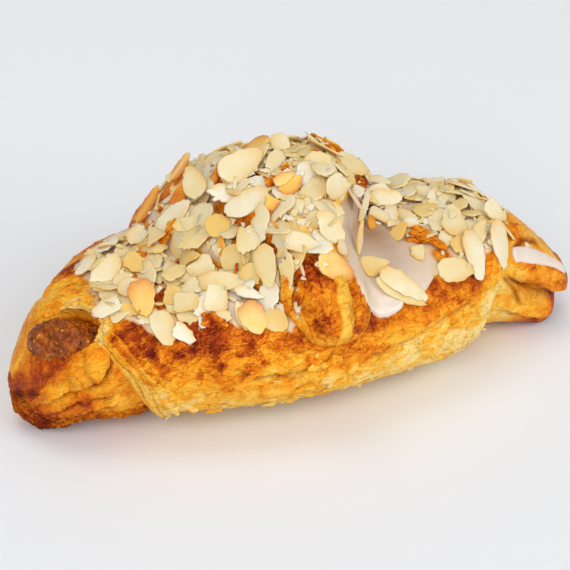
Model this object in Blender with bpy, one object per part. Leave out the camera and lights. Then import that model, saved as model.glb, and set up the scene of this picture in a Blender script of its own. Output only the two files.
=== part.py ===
"""An almond croissant: straight, baked brown, resting on its flat underside.

Three solids, which touch nowhere:

  pastry          the roll: a core whose ends are the two tips, a wrap round its middle, and two
                  narrower bands over the wrap, the outer of which ends as a tongue on the front
  filling         nut filling, which shows in the pocket of the left tip and runs through the roll
  almond_topping  the heap of iced flaked almonds on top, out to its uneven outline

Metres. +X runs along the roll, with the filled tip at -X, -Y is the front and +Z is up. The origin is
under the middle of the whole thing's box. An "angle" is in degrees round the roll's own axis: 0 at the
front, 90 on top, 180 at the back, -90 underneath.
"""
import math

import bmesh
import bpy
import numpy as np
from mathutils import Euler, Matrix, Vector

# ---------------------------------------------------------------- driving dimensions

AXIS_HEIGHT = 0.024         # height of the axis that the wrap and the bands are wound round
UNDERSIDE = 0.025           # depth of the wrap under its axis, before it is cut flat to rest on
OVAL_TOP = 2.3              # exponent of the section's upper half: 2 would be an ellipse
OVAL_BOTTOM = 2.6           # exponent of its lower half, a little squarer
GAP = 0.0005                # clearance that a neighbour is cut back by
TOUCH = 0.0004              # clearance round the filling
WELD = 0.00008              # points nearer than this are one, once the pieces are cut

# Core: x, half width, height of its middle, rise over it, depth under it, y of its middle
CORE = [
    (-0.0865, 0.0030, 0.0125, 0.0070, 0.0070, -0.0055),
    (-0.0850, 0.0065, 0.0130, 0.0090, 0.0095, -0.0055),
    (-0.0800, 0.0120, 0.0150, 0.0130, 0.0140, -0.0060),
    (-0.0700, 0.0190, 0.0190, 0.0160, 0.0180, -0.0055),
    (-0.0600, 0.0230, 0.0210, 0.0150, 0.0220, -0.0040),
    (-0.0350, 0.0220, 0.0210, 0.0120, 0.0200, 0.0000),
    (0.0350, 0.0220, 0.0210, 0.0120, 0.0200, 0.0000),
    (0.0580, 0.0220, 0.0220, 0.0150, 0.0223, -0.0020),
    (0.0720, 0.0175, 0.0170, 0.0170, 0.0170, -0.0040),
    (0.0820, 0.0145, 0.0135, 0.0130, 0.0125, -0.0050),
    (0.0860, 0.0120, 0.0125, 0.0090, 0.0110, -0.0060),
    (0.0880, 0.0090, 0.0120, 0.0070, 0.0090, -0.0060),
]

# Creases pressed into the core: from x, angle; to x, angle; depth; half width in degrees
CREASES = [
    (0.0640, 15.0, 0.0880, -19.0, 0.0045, 10.0),
    (-0.0850, 38.0, -0.0680, -10.0, 0.0022, 9.0),
]

# Wrap: x, half width, rise over the axis
WRAP = [
    (-0.080, 0.0180, 0.0115),
    (-0.070, 0.0245, 0.0142),
    (-0.060, 0.0300, 0.0150),
    (-0.040, 0.0370, 0.0180),
    (-0.020, 0.0410, 0.0210),
    (0.000, 0.0420, 0.0220),
    (0.020, 0.0400, 0.0210),
    (0.040, 0.0355, 0.0185),
    (0.060, 0.0270, 0.0160),
    (0.076, 0.0190, 0.0120),
]
WRAP_LEFT = (-0.0600, -0.0155)      # the spiral left edge: x at the front, and what sin(angle) adds
WRAP_RIGHT = (0.0585, 0.0145)
WRAP_LIP = 0.009                    # depth of the wrap's rounded end
WRAP_LIP_RUN = 0.005                # length over which it rounds

# Bands: angle, x of the left edge, x of the right edge, lift over the wrap
UNDER_BAND = [
    (6, -0.003, 0.004, 0.000),
    (9, -0.008, 0.008, 0.002),
    (16, -0.012, 0.011, 0.004),
    (28, -0.016, 0.013, 0.005),
    (50, -0.026, 0.015, 0.007),
    (90, -0.035, 0.027, 0.009),
    (140, -0.038, 0.035, 0.007),
    (185, -0.036, 0.034, 0.003),
    (205, -0.030, 0.030, -0.002),
]
TONGUE_BAND = [
    (8, -0.0050, 0.0000, 0.001),
    (10, -0.0080, 0.0025, 0.004),
    (15, -0.0098, 0.0040, 0.0075),
    (26, -0.0110, 0.0050, 0.010),
    (50, -0.0150, 0.0085, 0.014),
    (90, -0.0220, 0.020, 0.018),
    (140, -0.0220, 0.024, 0.013),
    (185, -0.0200, 0.022, 0.005),
    (205, -0.0180, 0.020, -0.002),
]
UNDER_ROUND = 0.007                 # radius of the band's rounded edges
TONGUE_ROUND = 0.005
BAND_FOOT = 0.003                   # how far a rounded edge starts inside the wrap
BAND_ROOT = 0.007                   # how far the band's hidden face lies inside the wrap
BAND_CROWDING = 1.7                 # over 1 sets the band's sections closer together at its tip

# Filling: x, y, z, radius
FILLING = [
    (-0.0815, -0.0085, 0.0275, 0.0010),
    (-0.0800, -0.0093, 0.0278, 0.0036),
    (-0.0765, -0.0110, 0.0284, 0.0058),
    (-0.0725, -0.0128, 0.0290, 0.0064),
    (-0.0660, -0.0135, 0.0275, 0.0058),
    (-0.0450, -0.0040, 0.0240, 0.0070),
    (0.0000, 0.0000, 0.0240, 0.0080),
    (0.0400, 0.0000, 0.0230, 0.0065),
    (0.0520, -0.0010, 0.0220, 0.0030),
    (0.0530, -0.0010, 0.0220, 0.0010),
]
POCKET_CENTRE = (-0.0728, -0.0130, 0.0310)
POCKET_HALF = (0.0105, 0.0070, 0.0065)
POCKET_TURN = (0.0, -10.0, -25.0)   # Euler degrees: its long axis rises and comes forward to the right

# Topping: x, angle of its front edge, angle of its back edge
TOPPING = [
    (-0.063, 52, 112),
    (-0.060, 40, 126),
    (-0.050, 21, 140),
    (-0.042, 17, 146),
    (-0.033, 23, 141),
    (-0.015, 16, 148),
    (-0.005, 28, 143),
    (0.005, 34, 149),
    (0.012, 17, 152),
    (0.028, 13, 142),
    (0.037, 19, 150),
    (0.053, 19, 144),
    (0.062, 25, 132),
    (0.069, 45, 110),
]
HEAP_DEPTH = 0.0027         # depth of the heap on the pastry
HEAP_RIM = 0.0013           # depth at its blunt edge
HEAP_EDGE_RUN = 0.007       # distance over which the edge thickens
HEAP_ROOT = 0.010           # how far its hidden face starts inside the wrap, before it is cut back
HUMPS = 110                 # humps that make the heap uneven
HUMP_RADIUS = (0.004, 0.008)
HUMP_HEIGHT = (0.0004, 0.0016)
HUMP_SEED = 11
HEAP_PROBES = 9             # points each way over which the heap's face looks for steep pastry
GROUND = (0.3, 0.2, 0.02)   # block under the plane that the croissant rests on

# Facets
CORE_RINGS, CORE_SIDES = 34, 42
CORE_TWIST = 2              # degrees that keep the core's edges clear of the wrap's
WRAP_RINGS, WRAP_SIDES = 22, 40
BAND_ACROSS, BAND_AROUND = 11, 24
FILLING_RINGS, FILLING_SIDES = 24, 14
TOPPING_ALONG, TOPPING_AROUND = 42, 18
POCKET_SEGMENTS = (20, 12)
SHARP_ANGLE = 50            # degrees

# name: colour, roughness
MATERIALS = {
    "pastry": ((0.72, 0.30, 0.045), 0.45),
    "filling": ((0.16, 0.055, 0.012), 0.30),
    "almond_topping": ((0.86, 0.74, 0.52), 0.55),
}


# ---------------------------------------------------------------- curves and sections

def smooth_curve(xs, ys):
    """A curve through the points that never overshoots them (monotone cubic)."""
    xs, ys = np.asarray(xs, float), np.asarray(ys, float)
    step = np.diff(xs)
    slope = np.diff(ys) / step
    tangent = np.zeros(len(xs))
    same_way = slope[:-1] * slope[1:] > 0
    before, after = 2 * step[1:] + step[:-1], step[1:] + 2 * step[:-1]
    with np.errstate(divide="ignore", invalid="ignore"):
        mean = (before + after) / (before / slope[:-1] + after / slope[1:])
    tangent[1:-1] = np.where(same_way, mean, 0.0)
    tangent[0], tangent[-1] = slope[0], slope[-1]

    def value(x):
        x = np.clip(x, xs[0], xs[-1])
        i = np.clip(np.searchsorted(xs, x, side="right") - 1, 0, len(step) - 1)
        t = (x - xs[i]) / step[i]
        rise = t * t * (3 - 2 * t)
        return (
            ys[i] + (ys[i + 1] - ys[i]) * rise
            + step[i] * (tangent[i] * t * (1 - t) ** 2 + tangent[i + 1] * t * t * (t - 1))
        )

    return value


def curves(stations):
    """One smooth curve for each column of a table, against its first column."""
    columns = list(zip(*stations))
    return [smooth_curve(columns[0], column) for column in columns[1:]]


def oval_radius(angle, half_width, rise, depth):
    """Distance from the middle to the rim of an oval section."""
    across, up = np.abs(np.cos(angle)), np.sin(angle)
    height = np.where(up > 0, rise, depth)
    power = np.where(up > 0, OVAL_TOP, OVAL_BOTTOM)
    return ((across / half_width) ** power + (np.abs(up) / height) ** power) ** (-1 / power)


def quarter_round(fraction):
    """0 at a rounded edge, 1 where its rounding ends."""
    return np.sqrt(1 - (1 - np.clip(fraction, 0, 1)) ** 2)


def eased(count):
    """Fractions from 0 to 1, closer together at both ends."""
    return 0.5 - 0.5 * np.cos(np.linspace(0, math.pi, count))


def around_axis(x, radius, angle, middle_y=0.0, middle_z=AXIS_HEIGHT):
    y = middle_y - radius * np.cos(angle)
    z = middle_z + radius * np.sin(angle)
    return np.stack(np.broadcast_arrays(x, y, z), -1)


core_width, core_middle, core_rise, core_depth, core_y = curves(CORE)
wrap_width, wrap_rise = curves(WRAP)


def wrap_radius(x, angle):
    return oval_radius(angle, wrap_width(x), wrap_rise(x), UNDERSIDE)


def crease_depth(x, angle):
    """How deep the creases press into the core."""
    total = np.zeros(np.broadcast(x, angle).shape)
    for x0, angle0, x1, angle1, depth, half_width in CREASES:
        along = np.clip((x - x0) / (x1 - x0), 0, 1)
        off = np.degrees(angle) - (angle0 + (angle1 - angle0) * along)
        off = (off + 180) % 360 - 180
        total = total + depth * np.minimum(1, 3 * along) * np.exp(-((off / half_width) ** 2))
    return total


def band_radius(band, rounding, x, angle):
    """Radius of a band's outer face, and how far inside its edges a point lies."""
    left, right, lift = (curve(np.degrees(angle)) for curve in curves(band))
    inside = np.minimum(x - left, right - x)
    edge = quarter_round(inside / np.minimum(rounding, (right - left) / 2))
    return wrap_radius(x, angle) - BAND_FOOT + (lift + BAND_FOOT) * edge, inside


# ---------------------------------------------------------------- meshes

def link_shape(name, shape, collection):
    """Make an object of a bmesh, and free the bmesh."""
    mesh = bpy.data.meshes.new(name)
    shape.to_mesh(mesh)
    shape.free()
    piece = bpy.data.objects.new(name, mesh)
    collection.objects.link(piece)
    return piece


def closed_object(name, points, faces, collection):
    shape = bmesh.new()
    corners = [shape.verts.new(point) for point in points]
    for face in faces:
        shape.faces.new([corners[i] for i in face])
    bmesh.ops.recalc_face_normals(shape, faces=shape.faces)
    bmesh.ops.triangulate(shape, faces=shape.faces)
    return link_shape(name, shape, collection)


def closed_loft(name, rings, collection):
    """A solid through rings of points, each end closed by a fan."""
    count, sides = rings.shape[:2]
    index = np.arange(count * sides).reshape(count, sides)
    following = np.roll(index, -1, axis=1)
    faces = []
    for i in range(count - 1):
        for j in range(sides):
            faces.append((index[i, j], index[i + 1, j], following[i + 1, j], following[i, j]))
    points = list(rings.reshape(-1, 3))
    for ring in (0, count - 1):
        hub = len(points)
        points.append(rings[ring].mean(axis=0))
        faces.extend((hub, index[ring, j], following[ring, j]) for j in range(sides))
    return closed_object(name, points, faces, collection)


def closed_slab(name, outer, inner, collection):
    """A solid between two grids of points of the same size."""
    rows, columns = outer.shape[:2]
    top = np.arange(rows * columns).reshape(rows, columns)
    base = top + rows * columns
    faces = []
    for i in range(rows - 1):
        for j in range(columns - 1):
            for grid in (top, base):
                faces.append((grid[i, j], grid[i + 1, j], grid[i + 1, j + 1], grid[i, j + 1]))
    rim_top = list(top[0, :-1]) + list(top[:-1, -1]) + list(top[-1, :0:-1]) + list(top[:0:-1, 0])
    for here, after in zip(rim_top, rim_top[1:] + rim_top[:1]):
        faces.append((here, after, after + rows * columns, here + rows * columns))
    points = np.concatenate([outer.reshape(-1, 3), inner.reshape(-1, 3)])
    return closed_object(name, points, faces, collection)


def grown_copy(piece, amount, collection):
    """A cutter: the same closed shape, larger by amount on every side."""
    shape = bmesh.new()
    shape.from_mesh(piece.data)
    shape.normal_update()
    moves = [vertex.normal * vertex.calc_shell_factor() * amount for vertex in shape.verts]
    for vertex, move in zip(shape.verts, moves):
        vertex.co += move
    return link_shape(piece.name + "_grown", shape, collection)


def combine(piece, other, operation):
    modifier = piece.modifiers.new(operation.lower() + "_" + other.name, "BOOLEAN")
    modifier.operation = operation
    modifier.solver = "EXACT"
    modifier.object = other


def weld(piece):
    """Close up the slivers that a cut can leave."""
    modifier = piece.modifiers.new("weld", "WELD")
    modifier.merge_threshold = WELD


# ---------------------------------------------------------------- the pieces

def make_core(collection):
    first, last = CORE[0][0], CORE[-1][0]
    x = (first + (last - first) * eased(CORE_RINGS))[:, None]
    angle = np.radians(np.arange(CORE_SIDES) * 360 / CORE_SIDES + CORE_TWIST)[None, :]
    radius = oval_radius(angle, core_width(x), core_rise(x), core_depth(x)) - crease_depth(x, angle)
    rings = around_axis(x, radius, angle, core_y(x), core_middle(x))
    return closed_loft("pastry", rings, collection)


def make_wrap(collection):
    angle = np.radians(np.arange(WRAP_SIDES) * 360 / WRAP_SIDES)[None, :]
    left = WRAP_LEFT[0] + WRAP_LEFT[1] * np.sin(angle)
    right = WRAP_RIGHT[0] + WRAP_RIGHT[1] * np.sin(angle)
    x = left + (right - left) * eased(WRAP_RINGS)[:, None]
    edge = quarter_round(np.minimum(x - left, right - x) / WRAP_LIP_RUN)
    radius = wrap_radius(x, angle) - WRAP_LIP * (1 - edge)
    return closed_loft("wrap", around_axis(x, radius, angle), collection)


def make_band(name, band, rounding, collection):
    along = np.linspace(0, 1, BAND_AROUND) ** BAND_CROWDING
    angle = np.radians(band[0][0] + (band[-1][0] - band[0][0]) * along)[None, :]
    left, right, _ = (curve(np.degrees(angle)) for curve in curves(band))
    x = left + (right - left) * eased(BAND_ACROSS)[:, None]
    radius, _ = band_radius(band, rounding, x, angle)
    outer = around_axis(x, radius, angle)
    inner = around_axis(x, wrap_radius(x, angle) - BAND_ROOT, angle)
    return closed_slab(name, outer, inner, collection)


def make_filling(collection):
    y, z, radius = curves(FILLING)
    first, last = FILLING[0][0], FILLING[-1][0]
    x = (first + (last - first) * eased(FILLING_RINGS))[:, None]
    angle = np.radians(np.arange(FILLING_SIDES) * 360 / FILLING_SIDES)[None, :]
    return closed_loft("filling", around_axis(x, radius(x), angle, y(x), z(x)), collection)


def make_pocket(collection):
    """The hollow in the left tip, over the head of the filling."""
    turn = Euler([math.radians(a) for a in POCKET_TURN]).to_matrix().to_4x4()
    place = Matrix.Translation(Vector(POCKET_CENTRE)) @ turn @ Matrix.Diagonal((*POCKET_HALF, 1))
    shape = bmesh.new()
    around, up = POCKET_SEGMENTS
    bmesh.ops.create_uvsphere(shape, u_segments=around, v_segments=up, radius=1, matrix=place)
    return link_shape("pocket", shape, collection)


def make_ground(collection):
    """A block whose top is the plane that the croissant rests on."""
    shape = bmesh.new()
    bmesh.ops.create_cube(shape, size=1, matrix=Matrix.Diagonal((*GROUND, 1)))
    bmesh.ops.translate(shape, verts=shape.verts, vec=(0, 0, -GROUND[2] / 2))
    return link_shape("ground", shape, collection)


def pastry_radius(x, angle):
    """Outermost of the wrap and the bands."""
    radius = wrap_radius(x, angle)
    for band, rounding in ((UNDER_BAND, UNDER_ROUND), (TONGUE_BAND, TONGUE_ROUND)):
        outer, inside = band_radius(band, rounding, x, angle)
        covered = (inside > 0) & (np.degrees(angle) > band[0][0])
        radius = np.where(covered, np.maximum(radius, outer), radius)
    return radius


def heap_depth(x, angle, fraction_along, fraction_around):
    """Depth of the heap: thin at its rim, humped by the almonds inside."""
    length = TOPPING[-1][0] - TOPPING[0][0]
    width = math.pi / 2 * wrap_width(x)
    from_end = np.minimum(fraction_along, 1 - fraction_along) * length
    from_side = np.minimum(fraction_around, 1 - fraction_around) * width
    edge = quarter_round(np.minimum(from_end, from_side) / HEAP_EDGE_RUN)
    random = np.random.default_rng(HUMP_SEED)
    humps = np.zeros(x.shape)
    arc = angle * wrap_width(0)
    for _ in range(HUMPS):
        hump_x = random.uniform(TOPPING[0][0], TOPPING[-1][0])
        hump_arc = random.uniform(0, math.pi) * wrap_width(0)
        reach = random.uniform(*HUMP_RADIUS)
        height = random.uniform(*HUMP_HEIGHT)
        distance = (x - hump_x) ** 2 + (arc - hump_arc) ** 2
        humps += height * np.exp(-2 * distance / reach ** 2)
    return HEAP_RIM + (HEAP_DEPTH - HEAP_RIM + humps) * edge


def make_topping(collection):
    front, back = curves(TOPPING)
    along = np.linspace(0, 1, TOPPING_ALONG)[:, None]
    around = np.linspace(0, 1, TOPPING_AROUND)[None, :]
    x = TOPPING[0][0] + (TOPPING[-1][0] - TOPPING[0][0]) * along + 0 * around
    angle = np.radians(front(x) + (back(x) - front(x)) * around)
    depth = heap_depth(x, angle, along, around)
    # The heap's face stays its depth off the pastry on every side, the bands' steep edges included.
    face = pastry_radius(x, angle) + depth
    arm = wrap_width(x)
    for across in np.linspace(-1, 1, HEAP_PROBES):
        for turn in np.linspace(-1, 1, HEAP_PROBES):
            if across ** 2 + turn ** 2 < 1:
                reach = math.sqrt(1 - across ** 2 - turn ** 2)
                near = pastry_radius(x + across * depth, angle + turn * depth / arm)
                face = np.maximum(face, near + reach * depth)
    outer = around_axis(x, face, angle)
    inner = around_axis(x, wrap_radius(x, angle) - HEAP_ROOT, angle)
    return closed_slab("almond_topping", outer, inner, collection)


# ---------------------------------------------------------------- assembly

def give_material(piece):
    colour, roughness = MATERIALS[piece.name]
    material = bpy.data.materials.new(piece.name)
    material.use_nodes = True
    shader = material.node_tree.nodes["Principled BSDF"]
    shader.inputs["Base Color"].default_value = (*colour, 1)
    shader.inputs["Roughness"].default_value = roughness
    piece.data.materials.append(material)


def hide_cutters(collection):
    for cutter in collection.objects:
        cutter.hide_render = True
        cutter.display_type = "WIRE"


def stand_on_origin(pieces, everything):
    """Hang everything from one empty, placed so that the whole box's bottom centre is at the origin."""
    bpy.context.view_layer.update()
    graph = bpy.context.evaluated_depsgraph_get()
    corners = [Vector(corner) for piece in pieces for corner in piece.evaluated_get(graph).bound_box]
    low = [min(corner[i] for corner in corners) for i in range(3)]
    high = [max(corner[i] for corner in corners) for i in range(3)]
    base = bpy.data.objects.new("almond_croissant_origin", None)
    bpy.context.scene.collection.objects.link(base)
    base.location = (-(low[0] + high[0]) / 2, -(low[1] + high[1]) / 2, -low[2])
    for piece in everything:
        piece.parent = base


def main():
    for old in list(bpy.data.objects):
        bpy.data.objects.remove(old)
    parts = bpy.data.collections.new("almond_croissant")
    cutters = bpy.data.collections.new("cutters")
    bpy.context.scene.collection.children.link(parts)
    bpy.context.scene.collection.children.link(cutters)

    pastry = make_core(parts)
    filling = make_filling(parts)
    topping = make_topping(parts)
    wrap = make_wrap(cutters)
    under = make_band("under_band", UNDER_BAND, UNDER_ROUND, cutters)
    tongue = make_band("tongue_band", TONGUE_BAND, TONGUE_ROUND, cutters)
    ground = make_ground(cutters)

    for form in (pastry, wrap, under, tongue):
        combine(topping, grown_copy(form, GAP, cutters), "DIFFERENCE")
    for form in (wrap, under, tongue):
        combine(pastry, form, "UNION")
    for hollow in (make_pocket(cutters), grown_copy(filling, TOUCH, cutters), ground):
        combine(pastry, hollow, "DIFFERENCE")

    for piece in (pastry, topping):
        weld(piece)
    for piece in (pastry, filling, topping):
        give_material(piece)
        piece.data.shade_smooth()
        piece.data.set_sharp_from_angle(angle=math.radians(SHARP_ANGLE))
    hide_cutters(cutters)
    stand_on_origin((pastry, filling, topping), [*parts.objects, *cutters.objects])


main()
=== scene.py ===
"""Looks of the almond croissant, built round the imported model.

Lengths are millimetres in the script and become metres when a mesh is made. +X runs along the roll,
with the filled tip at -X, -Y is the front and +Z is up. An "angle" goes round the roll's own axis:
0 at the front, 90 on top, 180 at the back, -90 underneath.
"""
import itertools
import math

import bmesh
import bpy
import numpy as np
from mathutils import Euler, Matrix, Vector


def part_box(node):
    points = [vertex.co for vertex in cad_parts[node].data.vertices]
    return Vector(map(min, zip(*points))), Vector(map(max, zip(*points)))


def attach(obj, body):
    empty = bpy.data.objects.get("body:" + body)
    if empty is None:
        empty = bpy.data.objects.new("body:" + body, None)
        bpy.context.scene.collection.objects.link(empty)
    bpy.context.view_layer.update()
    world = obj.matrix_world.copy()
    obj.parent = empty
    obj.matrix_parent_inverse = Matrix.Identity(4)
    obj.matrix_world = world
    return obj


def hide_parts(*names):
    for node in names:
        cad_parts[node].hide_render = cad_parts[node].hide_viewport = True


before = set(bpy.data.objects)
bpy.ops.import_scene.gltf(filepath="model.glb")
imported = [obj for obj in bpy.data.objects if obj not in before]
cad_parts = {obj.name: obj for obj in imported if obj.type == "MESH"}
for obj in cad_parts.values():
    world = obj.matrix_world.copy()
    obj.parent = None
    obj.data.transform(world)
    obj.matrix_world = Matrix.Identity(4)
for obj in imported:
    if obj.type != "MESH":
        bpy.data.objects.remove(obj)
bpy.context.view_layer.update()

MM = 0.001

# ---------------------------------------------------------------- the roll's shape, as the CAD has it

AXIS_HEIGHT = 24.0
UNDERSIDE = 25.0
OVAL_TOP = 2.3
OVAL_BOTTOM = 2.6

# Core: x, half width, height of its middle, rise over it, depth under it, y of its middle
CORE = [
    (-86.5, 3.0, 12.5, 7.0, 7.0, -5.5),
    (-85.0, 6.5, 13.0, 9.0, 9.5, -5.5),
    (-80.0, 12.0, 15.0, 13.0, 14.0, -6.0),
    (-70.0, 19.0, 19.0, 16.0, 18.0, -5.5),
    (-60.0, 23.0, 21.0, 15.0, 22.0, -4.0),
    (-35.0, 22.0, 21.0, 12.0, 20.0, 0.0),
    (35.0, 22.0, 21.0, 12.0, 20.0, 0.0),
    (58.0, 22.0, 22.0, 15.0, 22.3, -2.0),
    (72.0, 17.5, 17.0, 17.0, 17.0, -4.0),
    (82.0, 14.5, 13.5, 13.0, 12.5, -5.0),
    (86.0, 12.0, 12.5, 9.0, 11.0, -6.0),
    (88.0, 9.0, 12.0, 7.0, 9.0, -6.0),
]

# Creases pressed into the core: from x, angle; to x, angle; depth; half width in degrees
CREASES = [
    (64.0, 15.0, 88.0, -19.0, 4.5, 9.0),
    (-85.0, 38.0, -68.0, -10.0, 1.2, 9.0),
]
DEEPEST_CREASE = 4.5

# Wrap: x, half width, rise over the axis
WRAP = [
    (-80, 18.0, 11.5),
    (-70, 24.5, 14.2),
    (-60, 30.0, 15.0),
    (-40, 37.0, 18.0),
    (-20, 41.0, 21.0),
    (0, 42.0, 22.0),
    (20, 40.0, 21.0),
    (40, 35.5, 18.5),
    (60, 27.0, 16.0),
    (76, 19.0, 12.0),
]
WRAP_LEFT = (-60.0, -15.5)      # the spiral left edge: x at the front, and what sin(angle) adds
WRAP_RIGHT = (58.5, 14.5)
WRAP_LIP = 9.0                  # depth of the wrap's rounded end
WRAP_LIP_RUN = 5.0              # length over which it rounds

# Bands: angle, x of the left edge, x of the right edge, lift over the wrap
UNDER_BAND = [
    (6, -3, 4, 0),
    (9, -8, 8, 2),
    (16, -12, 11, 4),
    (28, -16, 13, 5),
    (50, -26, 15, 7),
    (90, -35, 27, 9),
    (140, -38, 35, 7),
    (185, -36, 34, 3),
    (205, -30, 30, -2),
]
TONGUE_BAND = [
    (8, -5.0, 0.0, 1),
    (10, -8.0, 2.5, 4),
    (15, -9.8, 4.0, 7.5),
    (26, -11.0, 5.0, 10),
    (50, -15.0, 8.5, 14),
    (90, -22.0, 20, 18),
    (140, -22.0, 24, 13),
    (185, -20.0, 22, 5),
    (205, -18.0, 20, -2),
]
BAND_FOOT = 3.0
BAND_ROOT = 7.0

# Both bands as pieces: name, shape, rounding of the edges, width of the pale ridge (none below 0), bake
# of the face, seed
BANDS = [
    ("crust_under_band", UNDER_BAND, 7.0, -2.0, 0.54, 400),
    ("crust_tongue", TONGUE_BAND, 5.0, 6.0, 0.64, 500),
]

# Filling: x, y, z, radius
FILLING = [
    (-81.5, -8.5, 27.5, 1.0),
    (-80.0, -9.3, 27.8, 3.6),
    (-76.5, -11.0, 28.4, 5.8),
    (-72.5, -12.8, 29.0, 6.4),
    (-66.0, -13.5, 27.5, 5.8),
    (-45.0, -4.0, 24.0, 7.0),
    (0.0, 0.0, 24.0, 8.0),
    (40.0, 0.0, 23.0, 6.5),
    (52.0, -1.0, 22.0, 3.0),
    (53.0, -1.0, 22.0, 1.0),
]
POCKET_CENTRE = (-72.6, -13.0, 34.0)
POCKET_HALF = (11.0, 7.0, 6.6)
POCKET_TURN = (0.0, -10.0, -25.0)

# Topping: x, angle of its front edge, angle of its back edge
TOPPING = [
    (-63, 52, 112),
    (-60, 40, 126),
    (-50, 21, 140),
    (-42, 17, 146),
    (-33, 23, 141),
    (-15, 16, 148),
    (-5, 28, 143),
    (5, 34, 149),
    (12, 17, 152),
    (28, 13, 142),
    (37, 19, 150),
    (53, 19, 144),
    (62, 25, 132),
    (69, 45, 110),
]


def smooth_curve(xs, ys):
    """A curve through the points that never overshoots them (monotone cubic)."""
    xs, ys = np.asarray(xs, float), np.asarray(ys, float)
    step = np.diff(xs)
    slope = np.diff(ys) / step
    tangent = np.zeros(len(xs))
    same_way = slope[:-1] * slope[1:] > 0
    before, after = 2 * step[1:] + step[:-1], step[1:] + 2 * step[:-1]
    with np.errstate(divide="ignore", invalid="ignore"):
        mean = (before + after) / (before / slope[:-1] + after / slope[1:])
    tangent[1:-1] = np.where(same_way, mean, 0.0)
    tangent[0], tangent[-1] = slope[0], slope[-1]

    def value(x):
        x = np.clip(x, xs[0], xs[-1])
        i = np.clip(np.searchsorted(xs, x, side="right") - 1, 0, len(step) - 1)
        t = (x - xs[i]) / step[i]
        rise = t * t * (3 - 2 * t)
        return (
            ys[i] + (ys[i + 1] - ys[i]) * rise
            + step[i] * (tangent[i] * t * (1 - t) ** 2 + tangent[i + 1] * t * t * (t - 1))
        )

    return value


def curves(stations):
    """One smooth curve for each column of a table, against its first column."""
    columns = list(zip(*stations))
    return [smooth_curve(columns[0], column) for column in columns[1:]]


core_width, core_middle, core_rise, core_depth, core_y = curves(CORE)
wrap_width, wrap_rise = curves(WRAP)
topping_front, topping_back = curves(TOPPING)


def oval_radius(angle, half_width, rise, depth):
    """Distance from the middle to the rim of an oval section."""
    across, up = np.abs(np.cos(angle)), np.sin(angle)
    height = np.where(up > 0, rise, depth)
    power = np.where(up > 0, OVAL_TOP, OVAL_BOTTOM)
    return ((across / half_width) ** power + (np.abs(up) / height) ** power) ** (-1 / power)


def wrap_radius(x, angle):
    return oval_radius(angle, wrap_width(x), wrap_rise(x), UNDERSIDE)


def quarter_round(fraction):
    """0 at a rounded edge, 1 where its rounding ends."""
    return np.sqrt(1 - (1 - np.clip(fraction, 0, 1)) ** 2)


def smoothstep(low, high, value):
    t = np.clip((value - low) / (high - low), 0, 1)
    return t * t * (3 - 2 * t)


def bump(value, centre, half_width):
    """1 at the centre, falling smoothly to about 0 beyond twice the half width."""
    return np.exp(-(((value - centre) / half_width) ** 2))


def mix(a, b, amount):
    """a where the amount is 0, b where it is 1."""
    return a * (1 - amount) + b * amount


def flat_points(u, v):
    """Points of a plane, for noise to read."""
    return np.stack([u, v, 0 * u], -1)


def spread(x, angle):
    """A column of x and a row of angles, both filled out to the whole grid."""
    return x + 0 * angle, angle + 0 * x


def rounded_rows(left, right, left_run, right_run, edge_rows, body_rows):
    """x of the rows across a strip whose two edges round off over those runs, and its rise there:
    0 at an edge's foot and 1 on the strip's face."""
    turn = np.linspace(0, 1, edge_rows)[:, None]
    body = np.linspace(0, 1, body_rows + 2)[1:-1, None]
    curve = 1 - np.cos(turn * np.pi / 2)
    span = right - left - left_run - right_run
    edge = (right - right_run * curve)[::-1]
    x = np.concatenate([left + left_run * curve, left + left_run + span * body, edge])
    return x, np.concatenate([turn, np.ones_like(body), turn[::-1]]) + 0 * x


def around_axis(x, radius, angle, middle_y=0.0, middle_z=AXIS_HEIGHT):
    y = middle_y - radius * np.cos(angle)
    z = middle_z + radius * np.sin(angle)
    return np.stack(np.broadcast_arrays(x, y, z), -1)


def wrap_edges(angle):
    left = WRAP_LEFT[0] + WRAP_LEFT[1] * np.sin(angle)
    right = WRAP_RIGHT[0] + WRAP_RIGHT[1] * np.sin(angle)
    return left, right


def band_shape(band, rounding, x, angle):
    """Lift of a band over the wrap, and how far inside its edges a point lies."""
    left, right, lift = (curve(np.degrees(angle)) for curve in curves(band))
    inside = np.minimum(x - left, right - x)
    edge = quarter_round(inside / np.minimum(rounding, (right - left) / 2))
    return -BAND_FOOT + (lift + BAND_FOOT) * edge, inside


# ---------------------------------------------------------------- noise

TABLE_SIZE = 4096


def direction_table():
    table = np.random.default_rng(5).normal(size=(TABLE_SIZE, 3))
    return table / np.linalg.norm(table, axis=1, keepdims=True)


DIRECTIONS = direction_table()
CHANCES = np.random.default_rng(6).random((TABLE_SIZE, 3))


def lattice_index(cell, seed):
    mixed = cell[..., 0] * 73856093 ^ cell[..., 1] * 19349663 ^ cell[..., 2] * 83492791
    return (mixed + seed * 7919) & (TABLE_SIZE - 1)


def smooth_noise(points, size, seed=0):
    """Smooth noise, about -1 to 1, with lumps of that size. points is (..., 3)."""
    p = points / size
    cell = np.floor(p).astype(np.int64)
    f = p - cell
    fade = f * f * f * (f * (f * 6 - 15) + 10)
    total = np.zeros(points.shape[:-1])
    for corner in itertools.product((0, 1), repeat=3):
        step = np.array(corner)
        toward = DIRECTIONS[lattice_index(cell + step, seed)]
        weight = np.prod(np.where(step, fade, 1 - fade), axis=-1)
        total += weight * np.sum(toward * (f - step), axis=-1)
    return total * 1.7


def fractal(points, size, octaves, seed=0):
    """Layers of smooth noise, each half the size and height of the one before."""
    total = 0
    for octave in range(octaves):
        total = total + smooth_noise(points, size / 2 ** octave, seed + octave) / 2 ** octave
    return total


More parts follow.
